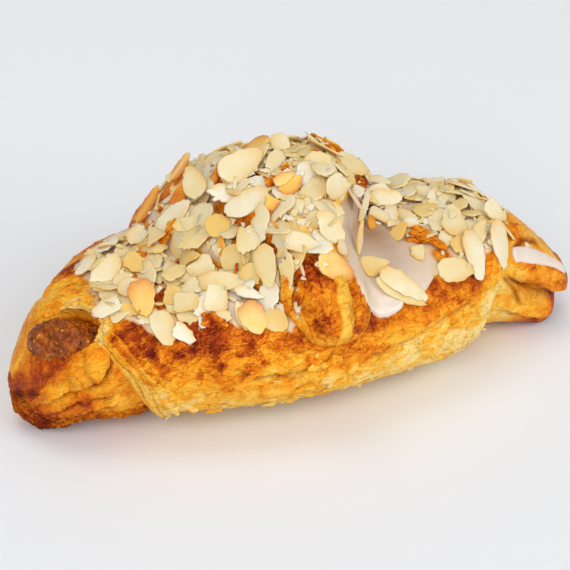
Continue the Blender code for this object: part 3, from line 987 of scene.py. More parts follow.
# Folds in the tips: as folded() reads them
FOLDS = [
    ([(-85, -16), (-82.0, -6), (-79, 2.5), (-76.3, 5.2), (-71.2, 7.2), (-68.0, 8.1), (-65.8, 11), (-63, 22)],
     2.0, 5.0, 2.6, 2.4),
    ([(-68.2, 6), (-66.0, 9.4), (-64.4, 13), (-62.3, 22), (-60.8, 32)], 0.9, 3.0, 0.9, 1.4),
    ([(-66.9, 9.6), (-69.2, 14.4), (-70.1, 22), (-69.6, 31), (-68.4, 38)], -0.1, 2.0, 0.45, 0.9),
    ([(-69.4, 10.5), (-72.4, 10.8), (-74.0, 16), (-74.8, 28)], -0.1, 2.0, 0.40, 0.9),
    ([(-64.6, -10), (-65.2, -1), (-66.7, 9.6)], 0.9, 1.6, 0.2, 1.4),
    ([(-82.5, -3), (-80.0, 10), (-77.5, 24), (-72.5, 30), (-68.0, 36)], -0.2, 3.0, -0.5, 2.6),
    ([(-82, -28), (-77.5, -19), (-74.0, -10.6), (-72.1, -8.2), (-70.0, -14.0), (-67, -9), (-61, -12)],
     0.9, 3.0, 1.1, 1.4),
    ([(-81, -36), (-74, -29), (-67, -24), (-60, -20)], 0.6, 2.5, 0.8, 1.0),
    ([(60.5, 16), (63.6, 6.5), (66.3, -2), (67.7, -9), (69.5, -17)], 0.9, 3.0, 0.6, 1.2),
    ([(61.4, 21), (63.7, 13), (66.9, 10), (71.9, 7.2), (76.9, 5.0), (80.0, 0), (83.5, -7), (88, -16)],
     1.1, 4.0, 1.6, 1.7),
    ([(66.4, 41), (67.6, 45), (69.5, 49.5), (72.4, 55.3), (75.4, 58.6), (79, 60)], 0.8, 3.0, 1.1, 1.2),
    ([(60, -18), (68, -27), (78, -33), (84, -30)], 0.5, 2.5, 0.6, 0.9),
]

# The flap's glossy face lies above this line: x, angle
FLAP_EDGE = [(-90, -20), (-84, -8), (-81.5, 10), (-78.7, 25), (-74.9, 31), (-70.4, 32), (-66, 40)]


def crease_depth(x, angle):
    """How deep the creases press into the core."""
    total = np.zeros(np.broadcast(x, angle).shape)
    for x0, angle0, x1, angle1, depth, half_width in CREASES:
        along = np.clip((x - x0) / (x1 - x0), 0, 1)
        off = np.degrees(angle) - (angle0 + (angle1 - angle0) * along)
        off = (off + 180) % 360 - 180
        total = total + depth * np.minimum(1, 3 * along) * np.exp(-((off / half_width) ** 2))
    return total


def core_flap(face):
    """1 on the left tip's glossy flap."""
    path = smooth_path([(x, math.radians(degrees) * CORE_ARC) for x, degrees in FLAP_EDGE], 20)
    inside, _ = path_distance(face.x, face.arc, path)
    ends = smoothstep(84, 62, face.degrees) * smoothstep(-70, -30, face.degrees)
    return face.left * smoothstep(-1.0, 1.6, inside) * ends


def core_ragged(face):
    """1 where the left tip's edge is ragged."""
    end = smoothstep(-80, -85, face.x) * smoothstep(35, 5, face.degrees)
    ragged = face.left * (end + smoothstep(-20, -38, face.degrees))
    return np.clip(ragged, 0, 1) * smoothstep(-110, -95, face.degrees)


def layer_core(face):
    """Folds in both tips, and ragged layers at the left one's edge."""
    folds, fold_shade = folded(FOLDS, face.x, face.angle, CORE_ARC)
    sheets = terraces(face.x, face.arc, 1.7, 19)
    torn = 1.8 * (sheets - 0.5) + 0.9 * fractal(face.points, 3, 3, 66)
    face.relief = face.relief * (0.7 - 0.5 * face.flap) + folds + face.ragged * torn
    crease = 0.15 * crease_depth(face.x, face.angle) / DEEPEST_CREASE
    # Painted shade in the folds' creases, along the right tip's crease, and between the ragged sheets.
    face.shade = 0.5 * face.shade * (1 - face.flap) + 1.1 * fold_shade + crease * face.right
    face.shade = face.shade + face.ragged * 0.5 * smoothstep(0.25, 0.0, sheets)


def shape_core(face):
    """The tips curve under sooner at the front and are fuller behind, the left one ends bluntly, and
    the right one's lower lip ends before its upper one."""
    x, degrees = face.x, face.degrees
    under = 2.6 * bump(x, -64, 8) + 1.0 * face.left + 2.8 * bump(x, 61, 8)
    relief = face.relief - bump(degrees, -50, 30) * under
    relief = relief + 2.6 * bump(x, 68, 8) * bump(degrees, 105, 45)
    relief = relief + 4.2 * bump(x, -75.5, 6) * bump(degrees, 112, 38)
    relief = relief + 1.5 * bump(x, 79, 4) * bump(degrees, -50, 25)
    blunt = 0.5 * bump(degrees, -52, 18) - 2.0 * bump(degrees, 0, 32) - 0.6
    relief = relief + face.left * smoothstep(-79, -85, x) * blunt
    lower_lip = face.right * smoothstep(4, -6, degrees) * smoothstep(-100, -70, degrees)
    missing = smoothstep(80.5, 87, x + 0.8 * smooth_noise(face.points, 4, 68))
    face.relief = relief - 6.0 * lower_lip * missing


def left_bake(face):
    """Bake of the core: darker underneath, at the left tip's end, low on it and on its flap."""
    x, degrees = face.x, face.degrees
    tip = 0.06 + 0.08 * smoothstep(-74, -84, x) + 0.10 * smoothstep(2, -12, degrees)
    bake = 0.48 + face.left * tip + 0.12 * face.ragged
    bake = bake + 0.25 * smoothstep(-62, -85, degrees) * (1 - face.ragged)
    bake = bake - 0.16 * face.left * bump(x, -60, 5) * smoothstep(-5, -16, degrees)
    bake = bake + 0.25 * face.flap * (1 - 0.4 * smoothstep(-75, -68, x))
    return np.minimum(bake - 0.16 * face.left * smoothstep(60, 90, degrees), 0.80)


def right_bake(face):
    """What the right tip adds: paler beside the wrap, darker at the ends of its lips, on top, on the
    upper lip's face and edge, and low down."""
    x, degrees = face.x, face.degrees
    bake = 0.28 * smoothstep(82, 87, x) - 0.12 - 0.14 * bump(x, 62, 8) * smoothstep(16, 0, degrees)
    bake = bake + 0.16 * smoothstep(45, 75, degrees)
    bake = bake + 0.34 * smoothstep(78, 84, x) * smoothstep(-4, -14, degrees)
    bake = bake + 0.15 * smoothstep(67, 72, x) * bump(degrees, 12, 10)
    bake = bake + 0.26 * bump(degrees, 26 + 0.3 * (x - 66), 4.0) * smoothstep(66, 72, x)
    bake = bake + 0.42 * smoothstep(-26, -40, degrees) * smoothstep(62, 72, x)
    return bake * face.right


def core_face(x, angle):
    """The core's outer face, with its radius and gloss."""
    radius = oval_radius(angle, core_width(x), core_rise(x), core_depth(x)) - crease_depth(x, angle)
    middle = core_y(x), core_middle(x)
    face = Face(around_axis(x, radius, angle, *middle), x, angle, CORE_ARC, 200)
    face.left, face.right = smoothstep(0, -20, x), smoothstep(0, 20, x)
    face.flap, face.ragged = core_flap(face), core_ragged(face)
    layer_core(face)
    shape_core(face)
    face.bake = left_bake(face) + right_bake(face) + face.bake * (0.9 - 0.5 * face.flap)
    face.bake = face.bake + 0.10 * fractal(face.points, 7, 3, 210)
    face.radius, sunk = sink_into_pocket(x, radius + face.relief, angle, *middle)
    wall = smoothstep(0.2, 1.5, sunk)
    # The pocket's wall: pale in front, darkened deep inside by painted shade.
    face.bake = mix(face.bake, pocket_bake_and_shade(x), wall)
    face.shade = np.clip(mix(face.shade, 0, wall), 0, 1)
    face.gloss = np.maximum(face.flap, 0.72 * face.left * (1 - face.ragged) + 0.5 * face.right)
    return face


def core_cap(rim, out, bulge):
    """Rings that close an end of the core, the rim's own left out, in a ragged dome."""
    fall = np.linspace(0, 1, CORE_CAP_ROWS + 1)[1:, None, None]
    hub = rim.mean(axis=0)
    cap = hub + (rim - hub) * np.cos(fall * np.pi / 2 * 0.97)
    cap[..., 0] += out * bulge * np.sin(fall[..., 0] * np.pi / 2)
    cap[..., 0] += 0.8 * fractal(cap, 3, 3, 71) * fall[..., 0]
    return cap


def make_core(material):
    x = np.concatenate([
        np.linspace(CORE[0][0], -CORE_SHOWN, CORE_END_ROWS),
        np.linspace(-CORE_SHOWN, CORE_SHOWN, CORE_HIDDEN_ROWS + 2)[1:-1],
        np.linspace(CORE_SHOWN, CORE[-1][0], CORE_END_ROWS),
    ])[:, None]
    x, angle = spread(x, np.radians(-90 + 360 * np.arange(CORE_COLUMNS) / CORE_COLUMNS)[None, :])
    face = core_face(x, angle)
    grid = around_axis(x, face.radius, angle, core_y(x), core_middle(x))
    caps = core_cap(grid[0], -1, 0.3)[::-1], core_cap(grid[-1], 1, 1.6)
    grid = rest_on_floor(np.concatenate([caps[0], grid, caps[1]]))
    cap = np.ones((CORE_CAP_ROWS, CORE_COLUMNS))
    values = {
        "bake": np.concatenate([0.76 * cap, face.bake, 0.60 * cap]),
        "shade": np.concatenate([0.2 * cap, face.shade, 0.1 * cap]),
        "gloss": np.concatenate([0.2 * cap, face.gloss, 0.1 * cap]),
    }
    loft_piece("crust_tips", grid, material, values, ["pastry"])


# ---------------------------------------------------------------- crust: the two bands over the wrap

BAND_EDGE_ROWS, BAND_BODY_ROWS, BAND_AROUND = 32, 66, 170


def band_face(band, rounding, x, angle, seed):
    """A band's outer face, with its radius and how far inside the band's edges each point lies."""
    lift, inside = band_shape(band, rounding, x, angle)
    radius = wrap_radius(x, angle) + lift
    face = Face(around_axis(x, radius, angle), x, angle, ARC, seed)
    face.radius, face.inside = radius, inside
    blisters = fractal(face.points, 5, 2, seed + 9)
    specks = smoothstep(0.15, 0.6, fractal(face.points, 3.2, 3, seed + 11))
    face.relief = 1.3 * face.relief + 0.6 * np.maximum(blisters, 0)
    face.bake = face.bake + 0.18 * specks
    return face


def add_band_edges(face, grid, rise, first, ridge_width, tone, seed):
    """Layers show on a band's edges and tip, and a pale ridge may run along its right edge."""
    shown = smoothstep(0.35, 0.6, rise)
    layers = lip_layers(rise, face.x, face.angle, 3, seed + 5)
    relief = 0.9 * (layers - 0.5) + 0.2 * fractal(grid, 3, 3, seed + 6)
    bake = 0.54 + 0.14 * (1 - layers) + 0.10 * fractal(grid, 5, 2, seed + 7)
    inside = face.inside + 0.7 * fractal(grid, 5, 2, seed + 8)
    ridge = smoothstep(ridge_width + 0.6, ridge_width - 0.6, inside) * smoothstep(0.3, 0.5, rise)
    ridge = ridge * (np.arange(len(rise))[:, None] > len(rise) // 2)
    face.relief = mix(relief, face.relief, shown) + 0.7 * ridge
    face.bake = mix(bake, tone + face.bake, shown)
    face.bake = mix(face.bake, 0.24 + 0.5 * (face.bake - tone), ridge)
    face.bake = mix(face.bake, bake - 0.1, smoothstep(first + 5, first, face.degrees))
    # Painted shade in the gaps between layers on the edges, and at the band's foot.
    face.shade = mix(0.75 * smoothstep(0.5, 0.0, layers), face.shade, shown)
    face.shade = face.shade + smoothstep(0.40, 0.18, rise)


def make_band(name, band, rounding, ridge_width, tone, seed, material):
    first = band[0][0] + 1.8
    degrees = first + (band[-1][0] - first) * np.linspace(0, 1, BAND_AROUND) ** 1.6
    left, right, lift = (curve(degrees)[None, :] for curve in curves(band))
    reach = np.minimum(rounding, (right - left) / 2)
    x, rise = rounded_rows(left, right, reach, reach, BAND_EDGE_ROWS, BAND_BODY_ROWS)
    x, angle = spread(x, np.radians(degrees)[None, :])
    puff = 0.7 * bump(degrees, first + 6, 6)
    height = -BAND_FOOT + (lift + puff + BAND_FOOT) * np.sin(rise * np.pi / 2)
    grid = around_axis(x, wrap_radius(x, angle) + height, angle)
    face = band_face(band, rounding, x, angle, seed)
    add_band_edges(face, grid, rise, first, ridge_width, tone, seed)
    outer = grid + face.relief[..., None] * grid_normals(grid, False)
    inner = around_axis(x, wrap_radius(x, angle) - BAND_ROOT, angle)
    values = {"bake": face.bake, "shade": np.clip(face.shade, 0, 1), "gloss": 0.3 + 0 * face.bake}
    slab_piece(name, outer, inner, material, values)


# ---------------------------------------------------------------- filling

FILLING_ROWS, FILLING_COLUMNS = 130, 90


def make_filling(material):
    y, z, radius = curves(FILLING)
    first, last = FILLING[0][0], FILLING[-1][0]
    spacing = np.linspace(0, 1, FILLING_ROWS) ** 1.8
    x = (first + (last - first) * spacing)[:, None]
    x, angle = spread(x, np.radians(np.arange(FILLING_COLUMNS) * 360 / FILLING_COLUMNS)[None, :])
    grid = around_axis(x, radius(x), angle, y(x), z(x))
    grains = 0.5 * fractal(grid, 2.2, 3, 301) + 0.7 * np.maximum(smooth_noise(grid, 1.9, 311), 0)
    head = smoothstep(-55, -62, x) * smoothstep(0, 3, radius(x))
    grid[..., 2] += 1.4 * head
    grid = grid + (head * (grains + 0.1))[..., None] * grid_normals(grid, True)
    loft_piece("nut_filling", grid, material, {}, ["filling"])


# ---------------------------------------------------------------- the surface that the topping lies on

def round_axis(points):
    """x, angle and radius of points round the roll's axis."""
    x, y, z = points.T
    angle = np.arctan2(z - AXIS_HEIGHT, -y)
    angle = np.where(angle < -math.pi / 2, angle + 2 * math.pi, angle)
    return x, angle, np.hypot(y, z - AXIS_HEIGHT)


class Surface:
    """Radius of what has been laid so far, on a grid of x and angle."""

    STEP_X, STEP_ANGLE = 0.5, math.radians(0.7)
    LOW_X, HIGH_X = -84.0, 84.0
    LOW_ANGLE, HIGH_ANGLE = math.radians(-30), math.radians(190)
    MOST_RAISED = 1.5

    def __init__(self):
        self.x = np.arange(self.LOW_X, self.HIGH_X, self.STEP_X)[:, None]
        self.angle = np.arange(self.LOW_ANGLE, self.HIGH_ANGLE, self.STEP_ANGLE)[None, :]
        x, angle = spread(self.x, self.angle)
        left, right = wrap_edges(angle)
        edge = quarter_round(np.minimum((x - left) / left_run(angle), (right - x) / WRAP_LIP_RUN))
        self.radius = wrap_radius(x, angle) - WRAP_LIP * (1 - edge) + wrap_face(x, angle).relief * edge
        for _, band, rounding, _, _, seed in BANDS:
            face = band_face(band, rounding, x, angle, seed)
            covered = (face.inside > 0) & (face.degrees > band[0][0])
            raised = np.maximum(self.radius, face.radius + face.relief)
            self.radius = np.where(covered, raised, self.radius)
        self.bare = self.radius.copy()

    def index(self, x, angle):
        i = np.rint((x - self.LOW_X) / self.STEP_X).astype(int)
        j = np.rint((angle - self.LOW_ANGLE) / self.STEP_ANGLE).astype(int)
        return np.clip(i, 0, self.x.size - 1), np.clip(j, 0, self.angle.size - 1)

    def at(self, x, angle):
        return self.radius[self.index(x, angle)]

    def heap(self, x, angle):
        """Depth of what lies on the bare pastry here."""
        where = self.index(x, angle)
        return self.radius[where] - self.bare[where]

    def between(self, x, angle, values):
        """Smoothly read a grid of values."""
        u = np.clip((x - self.LOW_X) / self.STEP_X, 0, self.x.size - 1.001)
        v = np.clip((angle - self.LOW_ANGLE) / self.STEP_ANGLE, 0, self.angle.size - 1.001)
        i, j = u.astype(int), v.astype(int)
        s, t = u - i, v - j
        low = values[i, j] * (1 - t) + values[i, j + 1] * t
        high = values[i + 1, j] * (1 - t) + values[i + 1, j + 1] * t
        return low * (1 - s) + high * s

    def cover(self, points):
        """Raise the surface to these points, by MOST_RAISED at most."""
        x, angle, reach = round_axis(points)
        where = self.index(x, angle)
        np.maximum.at(self.radius, where, np.minimum(reach, self.radius[where] + self.MOST_RAISED))


def blurred(values, size):
    """A grid smoothed by a Gaussian of that size in cells."""
    reach = int(3 * size)
    weights = np.exp(-0.5 * (np.arange(-reach, reach + 1) / size) ** 2)
    weights /= weights.sum()
    for axis in (0, 1):
        padded = np.pad(values, [(reach, reach) if k == axis else (0, 0) for k in (0, 1)], mode="edge")
        length = values.shape[axis]
        values = sum(
            w * np.take(padded, range(k, k + length), axis=axis) for k, w in enumerate(weights)
        )
    return values


# ---------------------------------------------------------------- icing

ICING_FILM = 0.7                # depth of the film, in mm
ICING_POOL = 1.5                # and of the pool beside the tongue
ICING_SUNK = 1.5                # how far below its base its inner face lies
ICING_X = (-61.8, 70, 230)      # from, to, and how many rows of points
ICING_ANGLE = (6, 162, 213)

# Where the icing runs down in front: x, angle it reaches, half width in mm, bluntness
DRIPS = [
    (-58.0, 36.0, 3.0, 2),
    (-47.0, 20.0, 4.0, 2),
    (-41.0, 15.0, 3.0, 2),
    (-27.0, 20.0, 3.5, 2),
    (-13.0, 14.5, 3.0, 2),
    (15.6, 12.6, 6.4, 5),
    (26.5, 19.0, 5.5, 4),
    (38.5, 28.0, 5.0, 2),
    (52.0, 28.0, 3.0, 2),
]


def icing_front(x):
    """Angle in degrees of the icing's front edge."""
    line = topping_front(x) + 5.0
    line = line + 26 * bump(x, -3, 5.5)
    for spot, reached, half_width, blunt in DRIPS:
        line = line - np.maximum(line - reached, 0) * np.exp(-np.abs((x - spot) / half_width) ** blunt)
    return line


def icing_inside(x, degrees):
    """How far inside the icing's outline a point lies, in mm."""
    back = topping_back(x) - 6 + 14 * smoothstep(-26, -38, x)
    inside = np.minimum(degrees - icing_front(x), back - degrees) * math.radians(1) * ARC
    return np.minimum(inside, np.minimum(x + 61, 67 - x) * 0.8)


def icing_depth(x, angle):
    """Depth of icing in mm; below 0 there is none."""
    degrees = np.degrees(angle)
    points = flat_points(x, angle * ARC)
    pool = bump(x, 20, 10) * smoothstep(6, 16, degrees) * smoothstep(88, 60, degrees)
    inside = icing_inside(x, degrees) + 1.4 * fractal(points, 7, 3, 600) * (1 - 0.7 * pool)
    pool = np.maximum(pool, 0.6 * bump(x, 50, 9) * bump(degrees, 55, 14))
    bare = 1.3 * bump(x, -42, 13) * smoothstep(70, 90, degrees)
    patches = smoothstep(-0.55, 0.25, fractal(points, 12, 2, 620) + 1.6 * pool + bare)
    depth = (ICING_FILM + (ICING_POOL - ICING_FILM) * pool) * patches
    bead = 0.5 * pool * bump(inside, 1.6, 1.1) * smoothstep(40, 25, degrees)
    edge = quarter_round(inside / (1.8 - 0.6 * pool))
    return np.where(inside > 0, (depth + bead) * edge, -0.5) - 0.5 * (1 - patches)


def lay_icing(surface, soft):
    """Raise the surface by the icing that lies on it."""
    x, angle = spread(surface.x, surface.angle)
    surface.radius = np.maximum(surface.radius, surface.between(x, angle, soft) + icing_depth(x, angle))
    surface.bare = surface.radius.copy()


def make_icing(surface, material):
    x, angle = spread(np.linspace(*ICING_X)[:, None], np.radians(np.linspace(*ICING_ANGLE))[None, :])
    soft, softest = blurred(surface.bare, 1.6), blurred(surface.bare, 3.2)
    under = surface.between(x, angle, soft)
    depth = icing_depth(x, angle)
    # Thick icing fills the hollows under it.
    filled = np.maximum(surface.between(x, angle, softest), under)
    base = mix(under, filled, smoothstep(0.6, 1.2, depth))
    lay_icing(surface, soft)
    # The pool lies thin over brown crust on the steep side of the tongue, and painted shade darkens it there
    # too.
    degrees = np.degrees(angle)
    thin_and_shaded = bump(x, 22, 9) * (0.5 * smoothstep(22, 34, degrees) + 0.5 * bump(degrees, 58, 17))
    values = {"depth": np.clip(0.62 * depth, 0, 1.1), "thin_and_shaded": thin_and_shaded}
    outer, inner = around_axis(x, base + depth, angle), around_axis(x, base - ICING_SUNK, angle)
    slab_piece("icing", outer, inner, material, values)


# Runs of icing on the right tip: name; x, angle along it; half width and height in mm
RUNS = [
    (
        "icing_streak",
        [(65.5, 33), (68.5, 37), (72.3, 39.6), (76.5, 40.5), (81, 39.5), (85, 36.5), (87.6, 33.5)],
        1.45, 1.2,
    ),
    ("icing_drop", [(71.8, 48.5), (72.8, 49.2), (73.8, 49.5)], 0.9, 0.75),
]
RUN_ROWS, RUN_COLUMNS = 70, 17
RUN_ARC = 11.0                  # mm of surface for each radian on the right tip
RUN_SUNK = 0.35                 # how far a run's edge sinks into the crust, and as much again below


def make_icing_run(name, spots, half_width, most, material):
    """A run of icing along the right tip, round at both ends."""
    path = smooth_path(spots, RUN_ROWS)
    along = np.linspace(0, 1, RUN_ROWS)[:, None]
    across = np.linspace(-1, 1, RUN_COLUMNS)[None, :]
    width = half_width * (1 + 0.2 * bump(along, 0.35, 0.2) + 0.3 * bump(along, 0.93, 0.1))
    reach = half_width / np.ptp(path[:, 0])
    width = width * quarter_round(along / reach) * quarter_round((1 - along) / reach)
    x = path[:, :1] + 0 * across
    angle = np.radians(path[:, 1:]) + across * width / RUN_ARC
    smooth = core_face(np.minimum(x, 87.5), angle).radius.mean(axis=1, keepdims=True)
    height = most * np.sqrt(np.maximum(1 - across ** 2, 0)) * np.minimum(1, width)
    middle_y, middle_z = core_y(x), core_middle(x)
    outer = around_axis(x, smooth - RUN_SUNK + height, angle, middle_y, middle_z)
    inner = around_axis(x, smooth - 2 * RUN_SUNK + 0 * height, angle, middle_y, middle_z)
    values = {"depth": 0.9 + 0.15 * height, "thin_and_shaded": 0 * height}
    slab_piece(name, outer, inner, material, values)


# ---------------------------------------------------------------- almonds

SIDES = 28
RINGS = [(0.55, 0.5), (0.93, 0.5), (0.995, 0.45)]    # scale of the outline, height over the middle
FILLED_IN = (1.0, 0.9, 0.75, 0.6, 0.45, 0.3, 0.15)   # scales of the copies that fill a slice in
STEEPEST = 1.2                                      # slope of the plane that a slice rests on
SPOT_TRIES = 7                                      # of which the lowest spot is picked


def slice_faces():
    """Faces of one slice: upper hub and rings, rim, lower rings and hub."""
    rings = 2 * len(RINGS) + 1
    index = 1 + np.arange(rings * SIDES).reshape(rings, SIDES)
    after = np.roll(index, -1, axis=1)
    last = 1 + rings * SIDES
    quads = np.stack([index[:-1], index[1:], after[1:], after[:-1]], -1).reshape(-1, 4)
    caps = [(0, int(i), int(j)) for i, j in zip(index[0], after[0])]
    caps += [(last, int(j), int(i)) for i, j in zip(index[-1], after[-1])]
    return quads, np.array(caps)


SLICE_QUADS, SLICE_CAPS = slice_faces()


def slice_outline(random, length, width, breaks):
    """Outline of a slice, pointed at one end, with that many broken edges (-1 makes it a square piece);
    and how brown its edge is."""
    turn = np.linspace(0, 2 * math.pi, SIDES, endpoint=False)
    pointed = random.uniform(0.05, 0.3)
    across, up = np.cos(turn), np.sin(turn)
    if breaks < 0:
        across, up = np.sign(across) * np.abs(across) ** 0.45, np.sign(up) * np.abs(up) ** 0.45
        pointed = 0.08
    outline = np.stack([
        length / 2 * (across + 0.06 * np.cos(2 * turn)),
        width / 2 * up * (1 - pointed * across),
    ], -1)
    outline *= 1 + 0.045 * random.normal(size=(SIDES, 1))
    brown_side = random.uniform(0, 2 * math.pi)
    whole = np.clip(0.4 + 0.8 * np.cos(turn - brown_side), 0, 1)
    for _ in range(max(breaks, 0)):
        toward = random.uniform(0, 2 * math.pi)
        normal = np.array([math.cos(toward), math.sin(toward)])
        reach = outline @ normal
        limit = reach.max() * random.uniform(0.2, 0.75) * (1 + 0.12 * random.normal(size=SIDES))
        cut = np.where(reach > limit, limit / np.maximum(reach, 1e-6), 1)
        outline *= cut[:, None]
        whole = np.where(cut < 1, 0.0, whole)
    return outline - outline.mean(axis=0), whole


def slice_points(outline, whole, thickness, bend, twist):
    """Points of a slice in its own plane, and the margin value of each."""
    upper, lower = [(0.0, 0.5)] + RINGS, [(scale, -height) for scale, height in reversed(RINGS)]
    points, margin = [], []
    half = max(np.abs(outline).max(), 1e-6)
    for scale, height in upper + [(1.0, 0.0)] + lower + [(0.0, -0.5)]:
        ring = outline * scale if scale else np.zeros((1, 2))
        bent = bend * (ring[:, 0] / half) ** 2
        z = thickness * height + bent + twist * ring[:, 0] * ring[:, 1] / half ** 2
        points.append(np.column_stack([ring, z]))
        margin.append(scale ** 2.2 * whole if scale else np.zeros(1))
    return np.concatenate(points), np.concatenate(margin)


def local_axes(angle):
    """Along the roll, round it, and out of it, at an angle."""
    along = np.array([1.0, 0.0, 0.0])
    around = np.array([0.0, math.sin(angle), math.cos(angle)])
    out = np.array([0.0, -math.cos(angle), math.sin(angle)])
    return along, around, out


def resting_plane(surface, x, angle, reach):
    """Axes of the plane that best fits the surface round a spot."""
    radius = surface.at(np.array(x), np.array(angle))
    u, v = np.meshgrid(np.linspace(-reach, reach, 7), np.linspace(-reach, reach, 7))
    u, turn = u.ravel(), v.ravel() / radius
    near = surface.at(x + u, angle + turn)
    side, height = near * np.sin(turn), near * np.cos(turn) - radius
    rows = np.column_stack([np.ones_like(u), u, side])
    _, slope_x, slope_side = np.linalg.lstsq(rows, height, rcond=None)[0]
    along, around, out = local_axes(angle)
    slope_x, slope_side = np.clip((slope_x, slope_side), -STEEPEST, STEEPEST)
    normal = out - slope_x * along - slope_side * around
    normal /= np.linalg.norm(normal)
    across = along - (along @ normal) * normal
    across /= np.linalg.norm(across)
    return across, np.cross(normal, across), normal, radius * out + np.array([x, 0, AXIS_HEIGHT])


def tilt_axes(axes, lean, toward):
    """Turn a plane's axes so that they lean by an angle, with the low side toward a direction."""
    across, up, normal = axes
    hinge = math.cos(toward) * up - math.sin(toward) * across
    turned = []
    for axis in (across, up, normal):
        turned.append(axis * math.cos(lean) + np.cross(hinge, axis) * math.sin(lean)
                      + hinge * (hinge @ axis) * (1 - math.cos(lean)))
    return turned


class Pile:
    """Slices gathered into one mesh."""

    def __init__(self):
        self.slices, self.count = [], 0

    def add(self, points, margin, tint):
        faces = SLICE_QUADS + self.count, SLICE_CAPS + self.count
        self.slices.append((points, margin, np.full(len(points), tint), *faces))
        self.count += len(points)

    def values(self, margin, tint):
        return {"margin": margin, "tint": tint}

    def finish(self, name, material, slot, replaces=()):
        points, margin, tint, quads, caps = (np.concatenate(part) for part in zip(*self.slices))
        faces = quads.tolist() + caps.tolist()
        make_piece(name, points, faces, material, self.values(margin, tint), replaces)


class CrumbPile(Pile):
    """The same for flakes of pastry, whose values are those of the crust's material."""

    def values(self, bake, _):
        return {"bake": bake, "shade": 0 * bake, "gloss": 0 * bake}


def lay_slice(surface, local, x, angle, spin, lean, toward, embed):
    """Put a slice down at a spot, leaning toward a direction in its plane. It rests on what is highest
    under it, less the share of its points that sink in."""
    reach = 0.35 * np.abs(local[:, :2]).max() + 1.5
    across, up, normal, middle = resting_plane(surface, x, angle, reach)
    across, up, normal = tilt_axes((across, up, normal), lean, toward)
    u = math.cos(spin) * across + math.sin(spin) * up
    v = np.cross(normal, u)
    placed = middle + local @ np.array([u, v, normal])
    *under, outward = round_axis(placed)
    need = surface.at(*under) - outward
    placed = placed + np.percentile(need, 100 * (1 - embed)) * normal
    # Smaller copies fill the slice in, for the surface to be raised all over it.
    hub = placed[0]
    surface.cover(np.concatenate([hub + (placed - hub) * scale for scale in FILLED_IN]))
    return placed


def keep_clear(x, degrees):
    """Chance that nothing is scattered: bare icing, the tongue's tip, the front (laid one by one)."""
    pool = bump(x, 18.5, 10) * smoothstep(80, 60, degrees)
    tip = bump(x, -2, 7) * smoothstep(46, 36, degrees)
    crust = bump(x, 38, 6) * smoothstep(36, 28, degrees) + bump(x, 56, 5) * smoothstep(34, 26, degrees)
    left_step = bump(x, -37, 3.5) * smoothstep(70, 90, degrees)
    right_step = bump(x, -23, 2.0) * smoothstep(75, 95, degrees)
    front = 0.5 * smoothstep(50, 30, degrees) + smoothstep(-55, -59, x)
    steps = 0.6 * (left_step + right_step)
    return np.clip(1.8 * pool + 1.3 * tip + 1.2 * crust + steps + front, 0, 1)


def pick_spot(random, surface):
    """A spot on the topping where little lies so far."""
    best, lowest = None, 1e9
    for _ in range(SPOT_TRIES):
        x = random.uniform(TOPPING[0][0] + 1, TOPPING[-1][0] - 2)
        front, back = float(topping_front(x)), float(topping_back(x))
        degrees = front + 4 + (back - front - 8) * random.random()
        if random.random() < keep_clear(x, degrees):
            continue
        lies = surface.heap(np.array(x), np.array(math.radians(degrees)))
        height = float(lies) + 0.8 * random.random() - 0.5 * bump(x, 0, 30) - 0.4 * bump(x, 61, 5)
        if height < lowest:
            best, lowest = (x, math.radians(degrees)), height
    return best


def spots_for(random, surface, count):
    """Spots for that many things, less those that find none."""
    for _ in range(count):
        spot = pick_spot(random, surface)
        if spot:
            yield spot


def any_way(random):
    """A direction or a spin, anywhere in a turn."""
    return random.uniform(0, 6.28)


def small_lean(random, degrees):
    """A lean that is seldom much more than these degrees."""
    return abs(random.normal()) * math.radians(degrees)


SLICE_COUNT = 285
TOASTED_SHARE = 0.14
STEEP_SHARE = 0.32


def scatter_slices(surface, pale, toasted):
    random = np.random.default_rng(21)
    for spot in spots_for(random, surface, SLICE_COUNT):
        toast = random.random() < TOASTED_SHARE
        length = random.uniform(6.5, 14)
        width = min(length * random.uniform(0.48, 0.75), 8.5)
        outline, whole = slice_outline(random, length, width, random.choice([0, 1, 2, 2, 3, 3]))
        thickness = random.uniform(0.4, 0.7)
        bend = random.normal() * (0.9 if toast else 0.4)
        local, margin = slice_points(outline, whole, thickness, bend, random.normal() * 0.5)
        steep = random.random() < STEEP_SHARE
        lean = math.radians(random.uniform(16, 40)) if steep else small_lean(random, 11)
        placed = lay_slice(surface, local, *spot, any_way(random), lean, any_way(random), embed=0.19)
        (toasted if toast else pale).add(placed, margin, 0.42 + 0.25 * random.normal())


